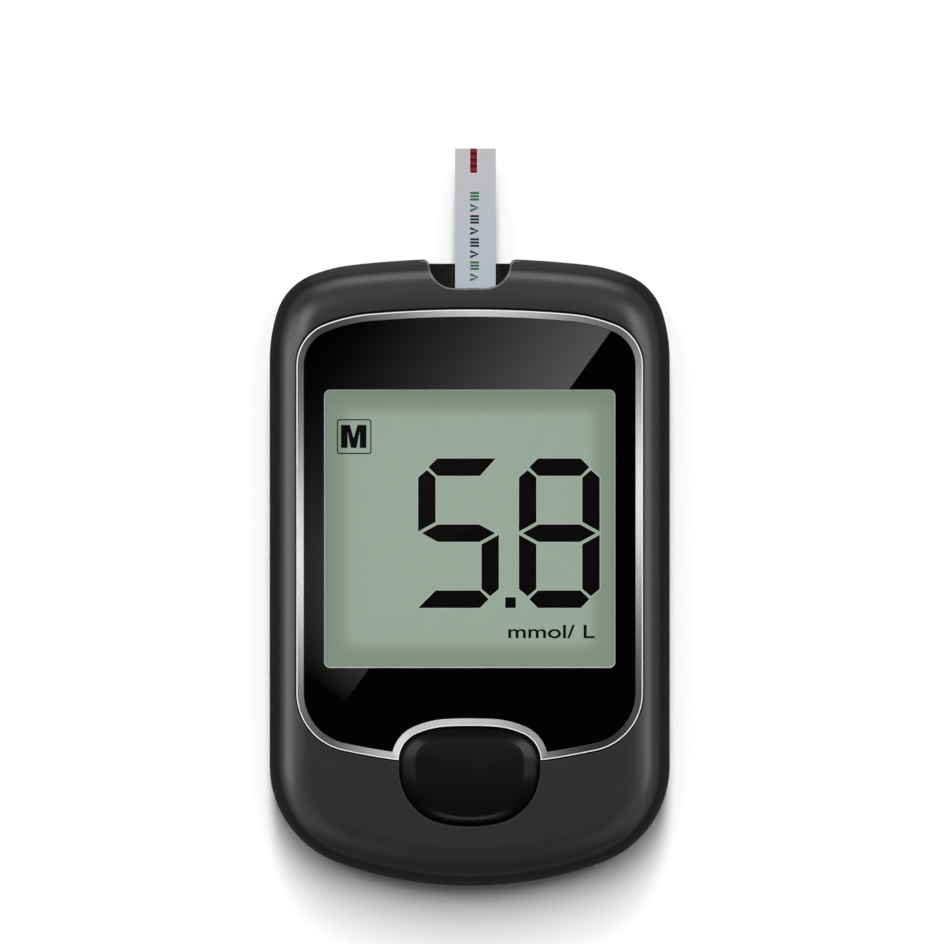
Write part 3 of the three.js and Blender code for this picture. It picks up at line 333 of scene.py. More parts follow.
HOUSING = Form(
    HOUSING_HIGH.x, HOUSING_TOP, (22.5 * MM, 8.2 * MM, 22.5 * MM), (0.07, 0.17, 0.565, 0.195),
    HOUSING_BOTTOM, (14.5 * MM,), (0.224, 0.776),
)
PANEL = Form(PANEL_HALF_WIDTH, PANEL_TOP, *PANEL_TOP_ARCS, *PANEL_BOTTOM_ARCS)
TRIM = Form(PANEL_HALF_WIDTH + TRIM_WIDER, PANEL_TOP - TRIM_LOWER, *PANEL_TOP_ARCS, *PANEL_BOTTOM_ARCS)
BUTTON = Form(
    BUTTON_HALF_WIDTH, BUTTON_TOP, (12.1 * MM, 3.85 * MM), BUTTON_TOP_SHARES,
    BUTTON_BOTTOM, (7.4 * MM,), BUTTON_BOTTOM_SHARES,
)
BUTTON_TABLE = Form(
    BUTTON_HALF_WIDTH - BUTTON_ROLL_SIDE, BUTTON_TOP - BUTTON_ROLL_TOP, (9 * MM, 2.4 * MM), BUTTON_TOP_SHARES,
    BUTTON_BOTTOM + BUTTON_ROLL_BOTTOM, (5.6 * MM,), BUTTON_BOTTOM_SHARES,
)
SIDE_START = len(PANEL.low) - 1
SIDE_END = SIDE_START + 1
PANEL_SCOOP_STOP = SIDE_END + int(np.argmin(np.abs(PANEL.high[::-1, 0] - SCOOP_MOUTH_HALF)))


# Paths

def at_index(path, position):
    base = min(int(position), len(path) - 2)
    share = position - base
    return path[base] * (1 - share) + path[base + 1] * share


def resample(path, count):
    steps = np.hypot(*np.diff(path[:, :2], axis=0).T)
    along = np.concatenate([[0.0], np.cumsum(steps)])
    spots = np.linspace(0, along[-1], count)
    return np.stack([np.interp(spots, along, column) for column in path.T], 1)


def stretch(path, start, end, count):
    """count points, evenly spaced from one index to just before another. Indices may lie between points."""
    inside = path[int(math.floor(start)) + 1 : int(math.ceil(end))]
    return resample(np.vstack([at_index(path, start), inside, at_index(path, end)]), count + 1)[:-1]


def stretches(path, stops, counts):
    """Stretches from stop to stop, each with its count of points."""
    return [stretch(path, start, end, count) for start, end, count in zip(stops, stops[1:], counts)]


def cross(a, b):
    return a[..., 0] * b[..., 1] - a[..., 1] * b[..., 0]


def crossing(first, second):
    """Where two paths cross, as an index on each."""
    start, step = first[:-1, None, :2], np.diff(first[:, :2], axis=0)[:, None]
    other, other_step = second[None, :-1, :2], np.diff(second[:, :2], axis=0)[None]
    turn = cross(step, other_step)
    turn = np.where(np.abs(turn) < PARALLEL, PARALLEL, turn)
    share, other_share = cross(other - start, other_step) / turn, cross(other - start, step) / turn
    i, j = np.argwhere((share >= 0) & (share < 1) & (other_share >= 0) & (other_share < 1))[0]
    return i + share[i, j], j + other_share[i, j]


def whole(half):
    """A closed loop from a right half whose two ends lie on X = 0."""
    left = half[1:-1][::-1].copy()
    left[:, 0] *= -1
    return np.vstack([half, left])


def panel_stretches(path, cusp):
    return stretches(path, (cusp, SIDE_START, SIDE_END, PANEL_SCOOP_STOP, len(path) - 1), PANEL_COUNTS)


def union_half(grow):
    """Right half of the cover's opening, panel and button together, grown by a distance."""
    panel = PANEL.right_half(-POCKET_FIT - grow)
    button = BUTTON.right_half(-BUTTON_GAP - grow)
    cusp, on_button = crossing(panel, button)
    parts = [stretch(button, 0, on_button, BUTTON_COUNT), *panel_stretches(panel, cusp), panel[-1:]]
    return np.vstack(parts)[:, :2]


def region_half(inset):
    """Right half of the panel less the arch over the button, drawn in by a distance."""
    panel = TRIM.right_half(inset)
    button = BUTTON.right_half(-BUTTON_GAP - inset)
    cusp, on_button = crossing(panel, button)
    arch = stretch(button[::-1], 0, len(button) - 1 - on_button, BUTTON_COUNT)
    return np.vstack([arch, *panel_stretches(panel, cusp), panel[-1:]])[:, :2]


def rounded_rectangle(low, high, radius, grow=0.0, grow_foot=None):
    """A rounded rectangle between two corners, grown by a distance, and by another one at its foot."""
    left, right, top = low[0] - grow, high[0] + grow, high[1] + grow
    foot = low[1] - (grow if grow_foot is None else grow_foot)
    centres = ((right - radius, top - radius), (left + radius, top - radius),
               (left + radius, foot + radius), (right - radius, foot + radius))
    points = []
    for turn, (x, y) in enumerate(centres):
        for step in range(CORNER_STEPS + 1):
            angle = (turn + step / CORNER_STEPS) * QUARTER
            points.append((x + radius * math.cos(angle), y + radius * math.sin(angle)))
    return np.array(points)


def disc(x, y, radius):
    angle = np.linspace(0, 2 * math.pi, DISC_POINTS, endpoint=False)
    return np.column_stack([x + radius * np.cos(angle), y + radius * np.sin(angle)])


def photo_point(px, py):
    return (px - MIDDLE_PX[0]) * PX, (MIDDLE_PX[1] - py) * PX


# Meshes

def in_scene(thing):
    bpy.context.scene.collection.objects.link(thing)
    return thing


def new_object(name, corners, faces):
    mesh = bpy.data.meshes.new(name)
    mesh.from_pydata([tuple(c) for c in corners], [], [tuple(int(i) for i in f) for f in faces])
    mesh.validate()
    mesh.update()
    return in_scene(bpy.data.objects.new(name, mesh))


def mesh_piece(name, shape, body, material, slot, smooth_angle=40):
    return finish_piece(new_object(name, *shape), body, material, slot, smooth_angle)


def finish_piece(piece, body, material, slot, smooth_angle=40):
    piece.data.materials.clear()
    piece.data.materials.append(material)
    piece.data.polygons.foreach_set("use_smooth", np.ones(len(piece.data.polygons), bool))
    piece.data.set_sharp_from_angle(angle=math.radians(smooth_angle))
    if body:
        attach(piece, body)
    return piece


def give_faces(piece, material, chosen):
    """Another material on the faces that a test chooses."""
    piece.data.materials.append(material)
    for face in piece.data.polygons:
        if chosen(face):
            face.material_index = 1


def lifted(loop, z):
    return np.column_stack([loop, np.broadcast_to(z, len(loop))])


def band_faces(rings, count, around=True, first=0):
    """Quads between rings of equal counts. around joins the last ring to the first."""
    faces = []
    last = rings if around else rings - 1
    for ring in range(last):
        low, high = first + ring * count, first + ((ring + 1) % rings) * count
        for j in range(count):
            k = (j + 1) % count
            faces.append((low + j, low + k, high + k, high + j))
    return faces


def ring_solid(loops):
    """A closed solid with a hole, from loops that run once round its section."""
    return np.vstack(loops), band_faces(len(loops), len(loops[0]))


def capped_solid(loops):
    """A closed solid from loops, the lowest first, closed by a flat face at both ends."""
    count = len(loops[0])
    faces = band_faces(len(loops), count, around=False)
    top = (len(loops) - 1) * count
    faces.append(tuple(range(count))[::-1])
    faces.append(tuple(range(top, top + count)))
    return np.vstack(loops), faces


def holed_solid(levels, hole):
    """A closed solid from outer loops (outline, z), the lowest first, with a straight hole through it."""
    count, last = len(levels[0][0]), len(levels) - 1
    corners = np.vstack([lifted(outline, z) for outline, z in levels])
    faces = band_faces(len(levels), count, around=False)
    first = len(corners)
    corners = np.vstack([corners, lifted(hole, levels[0][1]), lifted(hole, levels[-1][1])])
    faces += [face[::-1] for face in band_faces(2, len(hole), around=False, first=first)]
    ends = ((0, 0, first, True), (last, last * count, first + len(hole), False))
    for level, start, hole_start, flip in ends:
        loops = [[Vector((x, y, 0)) for x, y in loop] for loop in (levels[level][0], hole)]
        index = [*range(start, start + count), *range(hole_start, hole_start + len(hole))]
        points = [*loops[0], *loops[1]]
        for a, b, c in tessellate_polygon(loops):
            turn = (points[b] - points[a]).cross(points[c] - points[a]).z
            face = (index[a], index[b], index[c])
            faces.append(face[::-1] if (turn < 0) != flip else face)
    return corners, faces


def prism(outline, low, high):
    return capped_solid([lifted(outline, low), lifted(outline, high)])


def decal(name, outlines, material, thickness, z, body, slot):
    """Thin printed shapes that lie on a surface, joined as one piece."""
    corners, faces = [], []
    for outline in outlines:
        some, their_faces = prism(np.array(outline), z, z + thickness)
        faces += [tuple(i + len(corners) for i in face) for face in their_faces]
        corners += list(some)
    mesh_piece(name, (corners, faces), body, material, slot)


# Surfaces of the housing

HOUSING_RIM = resample(HOUSING.right_half(), RIM_POINTS)


def inset_of(points):
    """How far each point lies inside the housing's rim, measured along the nearest normal."""
    gaps = points[:, None] - HOUSING_RIM[None, :, :2]
    found = HOUSING_RIM[np.argmin((gaps**2).sum(2), 1)]
    return ((found[:, :2] - points) * found[:, 2:]).sum(1)


def front_height(points):
    level = np.clip(1 - inset_of(points) / FRONT_ROLL, 0, 1)
    cosine = level ** (1 / ROLL_ROUNDNESS_SHARE)
    rise = np.sqrt(np.clip(1 - cosine**2, 0, 1)) ** ROLL_ROUNDNESS_SHARE
    return CREST - FRONT_ROLL * (1 - rise)


def bend(start, pull, end):
    """A curve between two points, drawn towards a third."""
    share = np.linspace(0, 1, BEND_POINTS)[:, None]
    return start * (1 - share) ** 2 + 2 * pull * share * (1 - share) + end * share**2


def scoop_path():
    """The scoop's edge on the right, from outside its mouth to the middle of its floor."""
    neck = np.array([SCOOP_MOUTH_HALF * SCOOP_NECK_WIDTH_SHARE,
                     HOUSING_TOP + (SCOOP_FLOOR - HOUSING_TOP) * SCOOP_NECK_DEPTH_SHARE])
    mouth = np.array([SCOOP_MOUTH_HALF, HOUSING_TOP])
    heel = np.array([SCOOP_FLOOR_HALF, SCOOP_FLOOR])
    middle = np.array([0.0, SCOOP_FLOOR])
    shoulder = bend(mouth, np.array([neck[0], mouth[1]]), neck)
    foot = bend(neck, np.array([SCOOP_MOUTH_HALF * SCOOP_HEEL_WIDTH_SHARE, SCOOP_FLOOR]), heel)
    floor = np.linspace(heel, middle, BEND_POINTS)
    return np.vstack([shoulder, foot[1:], floor[1:]])


def blurred(path, width):
    """A path of rim points smoothed over a width, with both ends kept."""
    half = int(width / RIM_SPACING) // 2
    kernel = np.hanning(2 * half + 3)[1:-1]
    kernel /= kernel.sum()
    padded = np.vstack([2 * path[0] - path[half:0:-1], path, 2 * path[-1] - path[-2 : -half - 2 : -1]])
    return np.stack([np.convolve(column, kernel, mode="valid") for column in padded.T], 1)


def cover_rim():
    """Right half of the front cover's edge, scoop and all: even points, inward normals, the mouth's index."""
    outline, scoop = HOUSING.right_half(), scoop_path()
    on_outline, on_scoop = crossing(outline, scoop)
    before = np.vstack([outline[: int(on_outline) + 1, :2], at_index(outline, on_outline)[:2]])
    path = np.vstack([before, scoop[int(on_scoop) + 1 :]])
    length = np.hypot(*np.diff(path, axis=0).T).sum()
    path = resample(path, int(length / RIM_SPACING))
    mouth = int(np.argmin(np.hypot(*(path - before[-1]).T)))
    near = np.abs(np.arange(len(path)) - mouth) * RIM_SPACING / MOUTH_REACH
    weight = np.clip(1 - near, 0, 1)[:, None]
    weight = weight**2 * (3 - 2 * weight)
    path = path * (1 - weight) + blurred(path, MOUTH_SOFTNESS) * weight
    along = np.gradient(path, axis=0)
    along /= np.hypot(*along.T)[:, None]
    inward = blurred(np.column_stack([-along[:, 1], along[:, 0]]), MOUTH_SOFTNESS)
    inward[0], inward[-1] = (0.0, 1.0), (0.0, -1.0)
    inward /= np.hypot(*inward.T)[:, None]
    return np.hstack([path, inward]), mouth


def front_cover_loops():
    rim, mouth = cover_rim()
    side = HOUSING_HIGH.x
    matches = (CUSP_MATCH, (side, PANEL.low[-1, 1]), (side, PANEL.high[-1, 1]))
    found = (int(np.argmin(np.hypot(*(rim[:, :2] - point).T))) for point in matches)
    stops = (0, *found, mouth, len(rim) - 1)
    rim = np.vstack([*stretches(rim, stops, (BUTTON_COUNT, *PANEL_COUNTS)), rim[-1:]])
    edge, inward = rim[:, :2], rim[:, 2:]
    in_scoop = np.arange(len(rim)) >= len(rim) - 1 - PANEL_COUNTS[-1]
    round_share = np.clip(inset_of(edge) / EDGE_FADE, 0, 1) * in_scoop
    foot_z = np.where(in_scoop, STRIP_HIGH.z + SLOT_CLEARANCE, PARTING_Z)
    wall_foot = foot_z + PARTING_CHAMFER

    def level(points, drop=0.0):
        return points, front_height(points) - drop

    def edge_turn(radius):
        """Reach and drop of the steps round an edge."""
        angles = np.linspace(0, QUARTER, EDGE_STEPS + 1)
        return [(radius * (1 - math.cos(angle)), radius * (1 - math.sin(angle))) for angle in angles]

    levels = [(edge + inward * PARTING_CHAMFER, foot_z), (edge, wall_foot)]
    wall_top = level(edge, EDGE_RADIUS * round_share)[1]
    levels += [(edge, wall_foot + (wall_top - wall_foot) * share) for share in WALL_SHARES]
    levels += [level(edge + inward * reach, drop * round_share) for reach, drop in edge_turn(EDGE_RADIUS)]
    for reach in np.linspace(EDGE_RADIUS, COLLAR_WIDTH, COLLAR_STEPS + 1)[1:]:
        levels.append(level(edge + inward * reach))
    start, end = edge + inward * COLLAR_WIDTH, union_half(POCKET_COLLAR_WIDTH)
    for share in np.linspace(0, 1, FIELD_STEPS + 1)[1:]:
        levels.append(level(start + (end - start) * share))
    levels += [level(union_half(reach), drop) for reach, drop in edge_turn(POCKET_EDGE_RADIUS)[::-1]]
    inner = edge + inward * WALL
    levels += [(union_half(0), COLLAR_LOW), (inner, COLLAR_LOW), (inner, foot_z)]
    return [whole(lifted(points, z)) for points, z in levels]


# Material helpers

def feed(tree, socket, value):
    """Wires a value that is a socket, or else sets it."""
    if isinstance(value, bpy.types.NodeSocket):
        tree.links.new(value, socket)
    else:
        socket.default_value = value


def add(tree, kind, *inputs, output=0, **settings):
    """An output of a new node. settings name its options and sockets; inputs fill the first sockets."""
    made = tree.nodes.new("ShaderNode" + kind)
    for key, value in settings.items():
        if key in made.inputs:
            feed(tree, made.inputs[key], value)
        else:
            setattr(made, key, value)
    for socket, value in zip(made.inputs, inputs):
        feed(tree, socket, value)
    return made.outputs[output]


def maths(tree, operation, *values):
    return add(tree, "Math", *values, operation=operation)


def mixed(tree, share, low, high, kind="RGBA"):
    return add(tree, "Mix", output="Result", data_type=kind, Factor=share, A=low, B=high)


def rgba(colour):
    """A colour with its alpha, from three levels or from one level of grey."""
    return (*colour, 1) if isinstance(colour, tuple) else (colour, colour, colour, 1)


def blend_colour(tree, share, low, high):
    return mixed(tree, share, rgba(low), rgba(high))


def spread(tree, value, low, high, from_low=0.3, from_high=0.7, **settings):
    return add(tree, "MapRange", value, from_low, from_high, low, high, **settings)


def place(tree, coordinates="Object"):
    return add(tree, "TexCoord", output=coordinates)


def axes(tree, vector):
    """The X, Y and Z of a vector."""
    return add(tree, "SeparateXYZ", vector).node.outputs


def noise(tree, scale, detail=2.0, coordinates="Object", stretch_by=(1, 1, 1)):
    mapped = add(tree, "Mapping", place(tree, coordinates), Scale=stretch_by)
    return add(tree, "TexNoise", mapped, output="Fac", Scale=scale, Detail=detail)


def bump(tree, height, strength, distance):
    return add(tree, "Bump", Strength=strength, Distance=distance, Height=height)


def new_material(name):
    made = bpy.data.materials.new(name)
    made.use_nodes = True
    return made, made.node_tree, made.node_tree.nodes["Principled BSDF"]


def coated(name, sockets_of):
    """A material whose shader gets the values that sockets_of makes in its tree."""
    made, tree, shader = new_material(name)
    for socket, value in sockets_of(tree).items():
        feed(tree, shader.inputs[socket], value)
    return made


def surface(name, shade):
    """A material whose surface is what shade builds in its tree."""
    made, tree, shader = new_material(name)
    tree.nodes.remove(shader)
    tree.links.new(shade(tree), tree.nodes["Material Output"].inputs["Surface"])
    return made


# Materials

def moulding(tree, low, high, roughness, specular=0.5, grain=2500, depth=0.012 * MM, metallic=0.0):
    """A moulded or pressed surface: slight mottling, uneven shine and a fine grain."""
    fine = noise(tree, grain)
    return {
        "Base Color": blend_colour(tree, noise(tree, 180, 3), low, high),
        "Roughness": spread(tree, fine, roughness - 0.04, roughness + 0.04),
        "Normal": bump(tree, fine, 0.6, depth),
        "Specular IOR Level": specular,
        "Metallic": metallic,
    }


def moulded(name, *looks, **more):
    return coated(name, lambda tree: moulding(tree, *looks, **more))


def smooth_moulded(name, low, high, roughness, specular):
    return moulded(name, low, high, roughness, specular, grain=900, depth=0.001 * MM)


def ink(name, colour):
    return smooth_moulded(name, tuple(0.8 * c for c in colour), colour, 0.5, 0.2)


def satin_to_matt_painted_shade(tree):
    """Moulded plastic with a satin top. Steeper walls are matt, but for the port's end, and their colour is
    darker as painted shade.
    """
    sockets = moulding(tree, 0.0125, 0.0165, roughness=0.4)
    normal = place(tree, "Normal")
    upright = axes(tree, normal)["Z"]
    lean = add(tree, "VectorMath", normal, PORT_END_LEAN, output="Value", operation="DOT_PRODUCT")
    shine = maths(tree, "MAXIMUM", spread(tree, upright, *TOP_SHINE), spread(tree, lean, *PORT_END_SHINE))
    # painted shade: steep walls take the darker colour
    colour = mixed(tree, spread(tree, upright, *PAINTED_WALL_SHADE_SPREAD), rgba(PAINTED_WALL_SHADE), sockets["Base Color"])
    roughness = spread(tree, upright, *TOP_ROUGHNESS)
    return {**sockets, "Base Color": colour, "Roughness": roughness, "Specular IOR Level": shine}


def painted_sheen_patch(tree, centre, radius, power, level):
    """A soft patch of painted sheen that falls off from its centre."""
    middle = (centre[0] * MM, centre[1] * MM, RING_HIGH.z)
    away = add(tree, "VectorMath", place(tree), middle, output="Value", operation="DISTANCE")
    steep = maths(tree, "POWER", maths(tree, "DIVIDE", away, radius * MM), power)
    return maths(tree, "MULTIPLY", maths(tree, "EXPONENT", maths(tree, "MULTIPLY", steep, -1)), level)


def brushed_silver_painted_sheen(tree):
    """Silver trim, brushed along its length. Its colour carries a painted reflection: painted shade at the
    corners, painted sheen at the middle of each side and along the button.
    """
    total = SILVER_PAINTED_SHADE_BASE
    for patch in SILVER_PAINTED_SHEEN_POOLS:
        total = maths(tree, "ADD", total, painted_sheen_patch(tree, *patch))
    streaks = noise(tree, 1.0, 3, "UV", BRUSH_STRETCH)
    return {
        # painted reflection in the colour: pools of painted sheen on a dark painted-shade base, with real
        # brushed streaks
        "Base Color": maths(tree, "MULTIPLY", total, spread(tree, streaks, 0.9, 1.1)),
        "Roughness": spread(tree, noise(tree, 60), 0.42, 0.47),
        "Normal": bump(tree, streaks, 0.25, 0.01 * MM),
        "Tangent": add(tree, "Tangent", direction_type="UV_MAP", uv_map="along"),
        "Metallic": 0.35,
        "Anisotropic": 0.95,
        "Anisotropic Rotation": 0.25,
    }


def gloss_black(tree):
    cloud = noise(tree, 90)
    return {
        "Base Color": blend_colour(tree, cloud, 0.0006, 0.0012),
        "Roughness": spread(tree, cloud, 0.003, 0.005),
    }


def clear_pane(tree):
    """Clear acrylic: what lies behind shows through, and the surface adds its gloss."""
    clear = add(tree, "BsdfTransparent", Color=(1, 1, 1, 1))
    gloss = add(tree, "BsdfGlossy", Roughness=0.004)
    return add(tree, "MixShader", add(tree, "Fresnel", IOR=1.05), clear, gloss)


def display_green_painted_shade(tree):
    """The display's face: grey green, with painted shade that darkens it towards the window's edges, where
    the recess's shadow falls.
    """
    spot = axes(tree, place(tree))
    middle, half = (WINDOW_HIGH + WINDOW_LOW) / 2, (WINDOW_HIGH - WINDOW_LOW) / 2

    def inside(value, centre, reach):
        """The distance to the nearer edge along an axis."""
        away = maths(tree, "ABSOLUTE", maths(tree, "SUBTRACT", value, centre))
        return maths(tree, "SUBTRACT", reach, away)

    depths = inside(spot["X"], middle.x, half.x), inside(spot["Y"], middle.y, half.y)
    least = maths(tree, "SMOOTH_MIN", *depths, PAINTED_SHADE_CORNER_BLEND)
    # painted shade: darker towards the window's edges, where the recess's shadow falls
    shade = spread(tree, least, *DISPLAY_PAINTED_SHADE, interpolation_type="SMOOTHSTEP")
    return {
        "Base Color": blend_colour(tree, shade, (0.207, 0.266, 0.209), (0.285, 0.356, 0.297)),
        "Roughness": spread(tree, noise(tree, 1200), 0.42, 0.5),
        "Specular IOR Level": 0.3,
    }


def strip_plastic(tree):
    """Pale film: warmer grey at the tip, bluer towards the port."""
    along = spread(tree, axes(tree, place(tree))["Y"], 0, 1, SCOOP_FLOOR, STRIP_HIGH.y)
    return {
        "Base Color": blend_colour(tree, along, (0.44, 0.48, 0.54), (0.475, 0.475, 0.488)),
        "Roughness": spread(tree, noise(tree, 700), 0.32, 0.42),
        "Specular IOR Level": 0.3,
    }


def chamber_red(tree):
    """The filled chamber: bright and dark red bands across it."""
    bands = add(tree, "TexWave", place(tree), output="Fac", bands_direction="Y", Scale=360, Distortion=0.6)
    return {
        "Base Color": blend_colour(tree, bands, (0.03, 0.001, 0.004), (0.26, 0.008, 0.02)),
        "Roughness": 0.25,
    }


# housing plastic whose steep walls carry painted shade
HOUSING_PLASTIC_PAINTED_SHADE = coated("housing_plastic", satin_to_matt_painted_shade)
# the scoop's edge: really glossier, and painted lighter as a highlight line
HOUSING_EDGE_PAINTED_HIGHLIGHT = moulded("housing_edge_painted_highlight", 0.02, 0.026, 0.26, specular=0.8)
BUTTON_PLASTIC = moulded("button_plastic", 0.002, 0.003, 0.32, 0.4, grain=3200, depth=0.004 * MM)
GUIDE_PLASTIC = moulded("guide_plastic", 0.004, 0.006, 0.3, 0.35, grain=1800, depth=0.003 * MM)
INNER_BLACK = moulded("inner_black", 0.014, 0.022, 0.6)
WHITE_PLASTIC = moulded("white_plastic", (0.6, 0.6, 0.58), (0.68, 0.68, 0.66), 0.5)
BOARD_GREEN = moulded("board_green", (0.012, 0.085, 0.036), (0.018, 0.11, 0.05), 0.35, grain=900)
ELASTOMER = moulded("elastomer", 0.03, 0.05, 0.7)
SCREW_STEEL = moulded("screw_steel", 0.38, 0.5, 0.34, metallic=1.0, grain=1500, depth=0.008 * MM)
CELL_STEEL = moulded("cell_steel", 0.46, 0.55, 0.26, metallic=1.0, grain=900, depth=0.006 * MM)
CONTACT_GOLD = moulded("contact_gold", (0.56, 0.38, 0.11), (0.64, 0.45, 0.15), 0.28, metallic=1.0)
FILM_GREEN = moulded("film_green", (0.27, 0.34, 0.27), (0.31, 0.38, 0.31), 0.5)
REAR_GLASS = moulded("rear_glass", (0.28, 0.34, 0.29), (0.31, 0.37, 0.31), 0.15)
# brushed silver whose colour holds a painted reflection
SILVER_WITH_PAINTED_SHEEN = coated("brushed_silver_painted_sheen", brushed_silver_painted_sheen)
# a pale colour that is a painted highlight on the ring's outer edge
RING_EDGE_PAINTED_HIGHLIGHT = smooth_moulded("ring_edge_painted_highlight", 0.86, 0.92, 0.4, specular=0.5)
LENS_BLACK = coated("lens_black", gloss_black)
WINDOW_CLEAR = surface("window_clear", clear_pane)
DISPLAY_GREEN_PAINTED_SHADE = coated("display_green_painted_shade", display_green_painted_shade)
SEGMENT_BLACK = smooth_moulded("segment_black", 0.0006, 0.0012, 0.5, specular=0.05)
HALO_PALE = ink("halo_pale", (0.42, 0.5, 0.43))
# a pale green that is a painted highlight along the window's edge
WINDOW_EDGE_PAINTED_HIGHLIGHT = ink("window_edge_painted_highlight", (0.42, 0.5, 0.42))
STRIP_PLASTIC = coated("strip_plastic", strip_plastic)
CHAMBER_RED = coated("chamber_red", chamber_red)
CHAMBER_PALE = ink("chamber_margin", (0.72, 0.58, 0.6))
INK_GREEN = ink("ink_green", (0.02, 0.13, 0.045))
INK_DARK = ink("ink_dark", (0.006, 0.01, 0.02))


# Pieces

def build_front_cover():
    loops = front_cover_loops()

    def at_scoop_edge(face):
        x, y, z = face.center
        in_scoop = abs(x) < SCOOP_MOUTH_HALF and y > SCOOP_FLOOR - EDGE_RADIUS and z > SCOOP_EDGE_FOOT
        return in_scoop and 0 <= face.index // len(loops[0]) - EDGE_START < EDGE_STEPS

    shape = ring_solid(loops)
    cover = mesh_piece("front_cover_shell", shape, "meter_body", HOUSING_PLASTIC_PAINTED_SHADE, "housing_plastic")
    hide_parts("front_cover")
    # the scoop's edge gets the glossier plastic, whose lighter colour is a painted highlight
    give_faces(cover, HOUSING_EDGE_PAINTED_HIGHLIGHT, at_scoop_edge)
    outer = whole(region_half(PANEL_FLOOR_GAP - POCKET_FIT))
    window = rounded_rectangle(WINDOW_LOW, WINDOW_HIGH, WINDOW_CORNER, WINDOW_MARGIN)
    shape = holed_solid([(outer, COLLAR_LOW), (outer, PANEL_FLOOR_Z)], window)
    floor = mesh_piece("panel_floor", shape, "meter_body", HOUSING_PLASTIC_PAINTED_SHADE, "housing_plastic")
    floor.visible_shadow = False


def build_ring():
    top = [(inset * MM, RING_HIGH.z - drop * MM) for inset, drop in RING_SECTION]
    section = [(RING_OUTER, RING_LOW.z), *top, (RING_INNER, RING_LOW.z)]
    loops = [lifted(whole(region_half(inset)), z) for inset, z in section]
    count = len(loops[0])
    ring = mesh_piece("bezel_ring_trim", ring_solid(loops), "meter_body", SILVER_WITH_PAINTED_SHEEN, "bezel_silver", 20)
    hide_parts("bezel_ring")
    paint_along(ring, len(loops), count)
    # painted highlight: the ring's outer edge faces are coloured pale
    give_faces(ring, RING_EDGE_PAINTED_HIGHLIGHT, lambda face: face.index // count in RING_HIGHLIGHT_LEVELS)


def paint_along(ring, rings, count):
    """A UV map whose first coordinate runs along the ring."""
    layer = ring.data.uv_layers.new(name="along")
    uv = np.zeros((len(ring.data.loops), 2), np.float32)
    for face in ring.data.polygons:
        level, j = divmod(face.index, count)
        steps = ((j, level), (j + 1, level), (j + 1, level + 1), (j, level + 1))
        for corner, (u, v) in zip(face.loop_indices, steps):
            uv[corner] = (u / count * BRUSH_REPEATS, v / rings)
    layer.data.foreach_set("uv", uv.ravel())


def build_lens():
    inset, top = RING_INNER + LENS_GAP, LENS_HIGH.z
    window = rounded_rectangle(WINDOW_LOW, WINDOW_HIGH, WINDOW_CORNER)
    outer, face = whole(region_half(inset)), whole(region_half(inset + LENS_BEVEL))
    shape = holed_solid([(outer, LENS_LOW.z), (outer, top - LENS_BEVEL), (face, top)], window)
    lens = mesh_piece("lens_print", shape, "meter_body", LENS_BLACK, "lens_black", 20)
    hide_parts("display_lens")
    lens.visible_shadow = False
    pane = rounded_rectangle(WINDOW_LOW, WINDOW_HIGH, WINDOW_CORNER, -PANE_GAP)
    shape = prism(pane, top - PANE_DEPTH, top - PANE_DROP)
    clear = mesh_piece("lens_window", shape, "meter_body", WINDOW_CLEAR, "lens_black", 20)
    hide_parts("display_lens")
    # a thin rim round the window whose pale colour is a painted highlight of its edge
    inner = rounded_rectangle(WINDOW_LOW, WINDOW_HIGH, WINDOW_CORNER - WINDOW_LINE, -WINDOW_LINE)
    floor = top - WINDOW_LINE_DEPTH
    section = ((window, 0), (window, WINDOW_LINE_OUTER), (inner, WINDOW_LINE_INNER), (inner, 0))
    shape = ring_solid([lifted(loop, floor + rise) for loop, rise in section])
    mesh_piece("window_edge", shape, "meter_body", WINDOW_EDGE_PAINTED_HIGHLIGHT, "lens_black", 20)


def build_button():
    wall_top = BUTTON_FACE - BUTTON_CROWN - BUTTON_ROLL_HEIGHT
    outer, table = BUTTON.points(BUTTON_POINTS), BUTTON_TABLE.points(BUTTON_POINTS)
    flange = BUTTON.points(BUTTON_POINTS, -FLANGE_REACH)
    flange_low = BUTTON_FOOT + POST_LENGTH
    flange_high = flange_low + FLANGE_THICKNESS
    levels = [(flange, flange_low), (flange, flange_high), (outer, flange_high), (outer, wall_top)]
    for share in np.linspace(0, 1, ROLL_STEPS + 1)[1:]:
        z = wall_top + BUTTON_ROLL_HEIGHT * (1 - (1 - share) ** BUTTON_ROLL_POWER)
        levels.append((outer + (table - outer) * share, z))
    centre = np.array([0.0, (BUTTON_TOP + BUTTON_BOTTOM) / 2])
    for share in BUTTON_CROWN_SHARES:
        levels.append((centre + (table - centre) * share, BUTTON_FACE - BUTTON_CROWN * share**2))
    shape = capped_solid([whole(lifted(half, z)) for half, z in levels])
    cap = mesh_piece("button_cap", shape, "button", BUTTON_PLASTIC, "button_plastic", 35)
    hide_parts("main_button")
    return cap


def back_levels(base_inset, flat_z):
    """The back's rolled edge, from its flat up to the straight side: insets and heights."""
    rows = []
    for step in range(ROLL_STEPS, -1, -1):
        angle = step / ROLL_STEPS * QUARTER
        inward = 1 - max(math.cos(angle), 0) ** ROLL_ROUNDNESS_SHARE
        rise = math.sin(angle) ** ROLL_ROUNDNESS_SHARE
        inset = base_inset + (BACK_ROLL_WIDTH - base_inset) * inward
        rows.append((inset, BACK_ROLL_HEIGHT + (flat_z - BACK_ROLL_HEIGHT) * rise))
    return rows


def carve(target, cutters, operation="DIFFERENCE"):
    for cutter in cutters:
        step = target.modifiers.new("carve", "BOOLEAN")
        step.operation = operation
        step.solver = "EXACT"
        step.object = cutter
    depsgraph = bpy.context.evaluated_depsgraph_get()
    made = bpy.data.meshes.new_from_object(target.evaluated_get(depsgraph))
    target.modifiers.clear()
    target.data = made
    for cutter in cutters:
        bpy.data.objects.remove(cutter)


